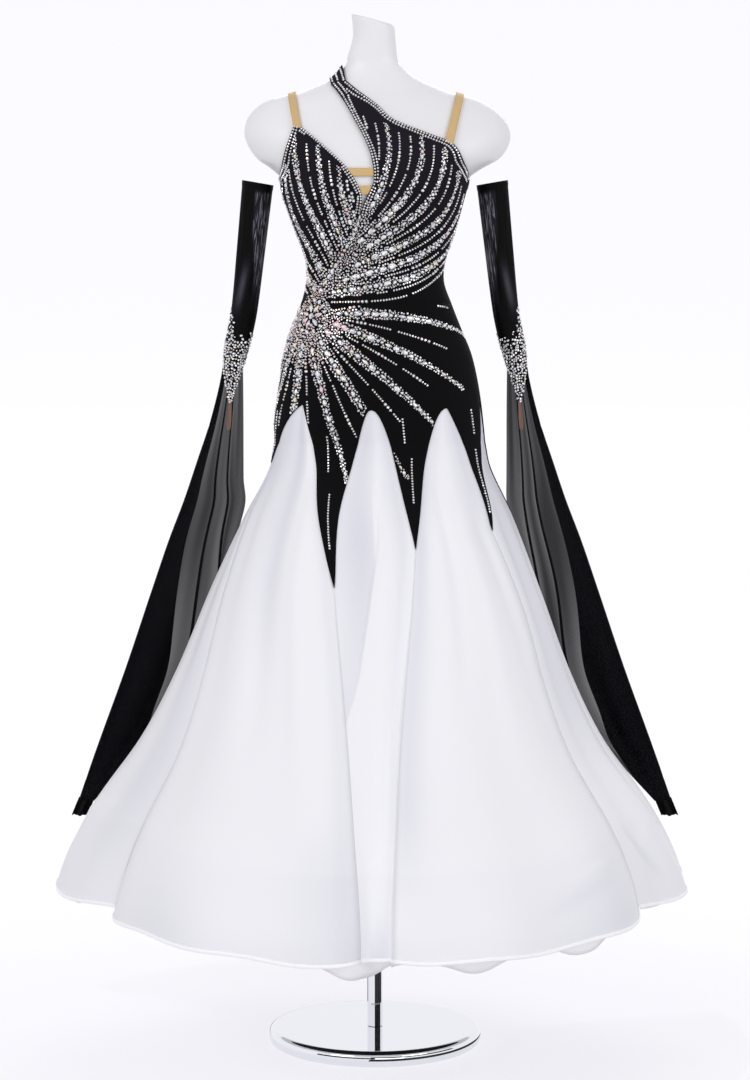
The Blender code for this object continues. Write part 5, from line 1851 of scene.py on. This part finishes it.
# rays that fan from the rosette over the hips, wide and narrow by turns
def laySunburst():
    x, height = stoneKit["rosette"]
    middle = angleAt(x, height)
    kit = plumeKit

    def surface(angle, height):
        return gownPoint(angle, height, 0.0, False)

    for k in range(kit["hipRays"]):
        heading = mix(17, -198, (k + dice.uniform(-0.12, 0.12)) / (kit["hipRays"] - 1))
        bend = mix(-115, 0, ease(k / 10))
        length = kit["hipReaches"][k]
        ray = StonePath(surface, marched(surface, middle, height, heading, bend, length + 0.01))
        if k % 2 == 1:
            strewBand("yoke", ray, insideYokeOrWrap, 0.028, length, 0.92 if k < 12 else 0.62)
        else:
            brokenRow("yoke", ray, insideYokeOrWrap, 0.030, length, k // 2)


# short rows near the points of the yoke, and a pair at the tips
def layPoints():

    def surface(angle, height):
        return gownPoint(angle, height, 0.0, False)

    for number, first, last, aside in plumeKit["pointRows"]:
        spots = []
        for i in range(31):
            t = mix(first, last, i / 30) ** 1.5
            left, right = archEdge(number - 1, 1, t), archEdge(number, 0, t)
            angle, height = (mix(a, b, 0.5 + aside / 0.1) for a, b in zip(left, right))
            spots.append([math.radians(angle), height])
        path = StonePath(surface, spots)
        strew("yoke" if number < 4 else "yokeBack", path, insideYoke, 0.0, path.length)


# stones strewn over the lower sleeve, sparse at first and close-set down to the point
def scatterCuff(name, sideSign):
    cut = sleeveCut

    def ring(angle, height):
        return sleevePoint(sideSign, angle, height)

    area = f"sleeve{name.title()}"
    small = stoneKit["small"]
    for _ in range(8000):
        height = mix(cut["tip"], 1.176, dice.random())
        half = math.radians(118)
        if height < cut["bottom"] + 0.004:
            share = max((height - cut["tip"]) / (cut["bottom"] - cut["tip"]), 0.0)
            half = 0.5 * math.pi * mix(cut["tipWidth"], 0.98, share ** cut["tipBow"])
        angle = dice.uniform(-half, half)
        # the field thins out upwards: highest on the outer side, a little up the inner one, lowest between
        outwards = sideSign * math.sin(angle)
        full = 1.094 + 0.030 * max(outwards, 0.0) + 0.006 * math.sin(7 * angle)
        full += 0.012 * max(-outwards, 0.0) ** 2
        edge = full + 0.030 + 0.026 * max(outwards, 0.0) ** 2
        if height > full and dice.random() > 0.5 * (1 - (height - full) / (edge - full)):
            continue
        radius = dice.choice((0.0015, small, small, 0.0021))
        longer = radius * dice.choice((1.0, 1.25, 1.45))
        normal = normalAt(ring, angle, height)
        point = ring(angle, height) + normal * (cut["wall"] + 0.0002)
        lean = dice.uniform(0, math.pi)
        way = Vector((math.cos(lean), 0.0, math.sin(lean)))
        setStone(area, point, normal, way, longer, radius, False, cut["fill"])


# one stone to copy: a girdle, a crown of facets and a flat top, sitting on its own base
def cutStone(segments, large=False):
    bm = bmesh.new()
    bmesh.ops.create_cone(bm, cap_ends=True, segments=segments, radius1=1.0, radius2=stoneKit["table"],
                          depth=stoneKit["rise"])
    bmesh.ops.translate(bm, verts=bm.verts, vec=(0.0, 0.0, 0.5 * stoneKit["rise"]))
    if large:
        tops = [face for face in bm.faces if face.normal.z > 0.9]
        bmesh.ops.inset_region(bm, faces=tops, thickness=0.2, depth=0.10)
    mesh = bpy.data.meshes.new("cutStone")
    bm.to_mesh(mesh)
    bm.free()
    return mesh


# a facet's painted glint: tops are painted bright, crown facets painted light and dark by turns as painted
# sparkle
def facetColour(facing):
    value = dice.uniform(0.90, 1.0) if facing > 0.9 else dice.choice((0.22, 0.60, 0.88, 1.0, 1.0))
    return min(value * dice.uniform(0.9, 1.05), 1.0)


# a stone's tint, from odds that shift towards rose and gold near the rosette
def castAt(point):
    away = (point - figurePoint(angleAt(*stoneKit["rosette"]), stoneKit["rosette"][1])).length
    chance, near = dice.random(), math.exp(-(away / 0.085) ** 2)
    for base, gain, cast in ((0.05, 0.42, (1.0, 0.80, 0.84)), (0.10, 0.62, (1.0, 0.93, 0.76)),
                             (0.30, 0.62, (0.90, 0.92, 1.0))):
        if chance < base + gain * near:
            return cast
    return 1.0, 1.0, 1.0


# copies a stone to its place, a little tilted, and colours its facets with painted glints and the stone's
# tint
def placeStone(bm, colours, shape, point, normal, along, halfLong, halfWide, navette):
    oldVerts, oldFaces = len(bm.verts), len(bm.faces)
    bm.from_mesh(shape)
    bm.verts.ensure_lookup_table()
    bm.faces.ensure_lookup_table()
    across = normal.cross(along).normalized()
    lean, tip = (Matrix.Rotation(math.radians(dice.uniform(-5, 5)), 3, axis) for axis in "XY")
    roll = dice.uniform(0, math.tau) if halfLong == halfWide else 0.0
    tilt, sine, cosine = lean @ tip, math.sin(roll), math.cos(roll)
    for vertex in bm.verts[oldVerts:]:
        x, y, z = vertex.co
        if navette:
            y *= 1.06 - 0.75 * x * x
        spun = tilt @ Vector(((x * cosine - y * sine) * halfLong, (x * sine + y * cosine) * halfWide,
                              z * min(halfWide, stoneKit["tallest"])))
        vertex.co = point + along * spun.x + across * spun.y + normal * spun.z
    cast = castAt(point)
    for face in bm.faces[oldFaces:]:
        value = facetColour(abs(face.normal.z))
        for loop in face.loops:
            loop[colours] = (*(value * part for part in cast), 1.0)


def joinStones(area, name):
    spots = stoneAreas[area]
    small, big = cutStone(7), cutStone(10, True)
    whole = bmesh.new()
    whole.loops.layers.float_color.new("facetColour")
    for first in range(0, len(spots), 120):         # in small batches, which is faster
        bm = bmesh.new()
        colours = bm.loops.layers.float_color.new("facetColour")
        for point, normal, along, halfLong, halfWide, navette in spots[first:first + 120]:
            shape = big if halfLong > stoneKit["bigFrom"] else small
            placeStone(bm, colours, shape, point, normal, along, halfLong, halfWide, navette)
        part = bpy.data.meshes.new("stonePart")
        bm.to_mesh(part)
        bm.free()
        whole.from_mesh(part)
        bpy.data.meshes.remove(part)
    whole.normal_update()
    addPiece(name, whole, "crystal", smooth=False)
    print(name, len(spots), "stones")
    for mesh in (small, big):
        bpy.data.meshes.remove(mesh)


layRosette()
edgeBodice()
layPlume()
laySunburst()
layPoints()
scatterCuff("left", -1)
scatterCuff("right", 1)
for area, name in (("rosette", "rosetteStones"), ("bodice", "bodiceStones"), ("bodiceBack", "backEdgeStones"),
                   ("halter", "halterStones"), ("yoke", "yokeStones"), ("yokeBack", "yokeBackStones"),
                   ("sleeveLeft", "cuffStonesLeft"), ("sleeveRight", "cuffStonesRight")):
    joinStones(area, name)
print("stones set")
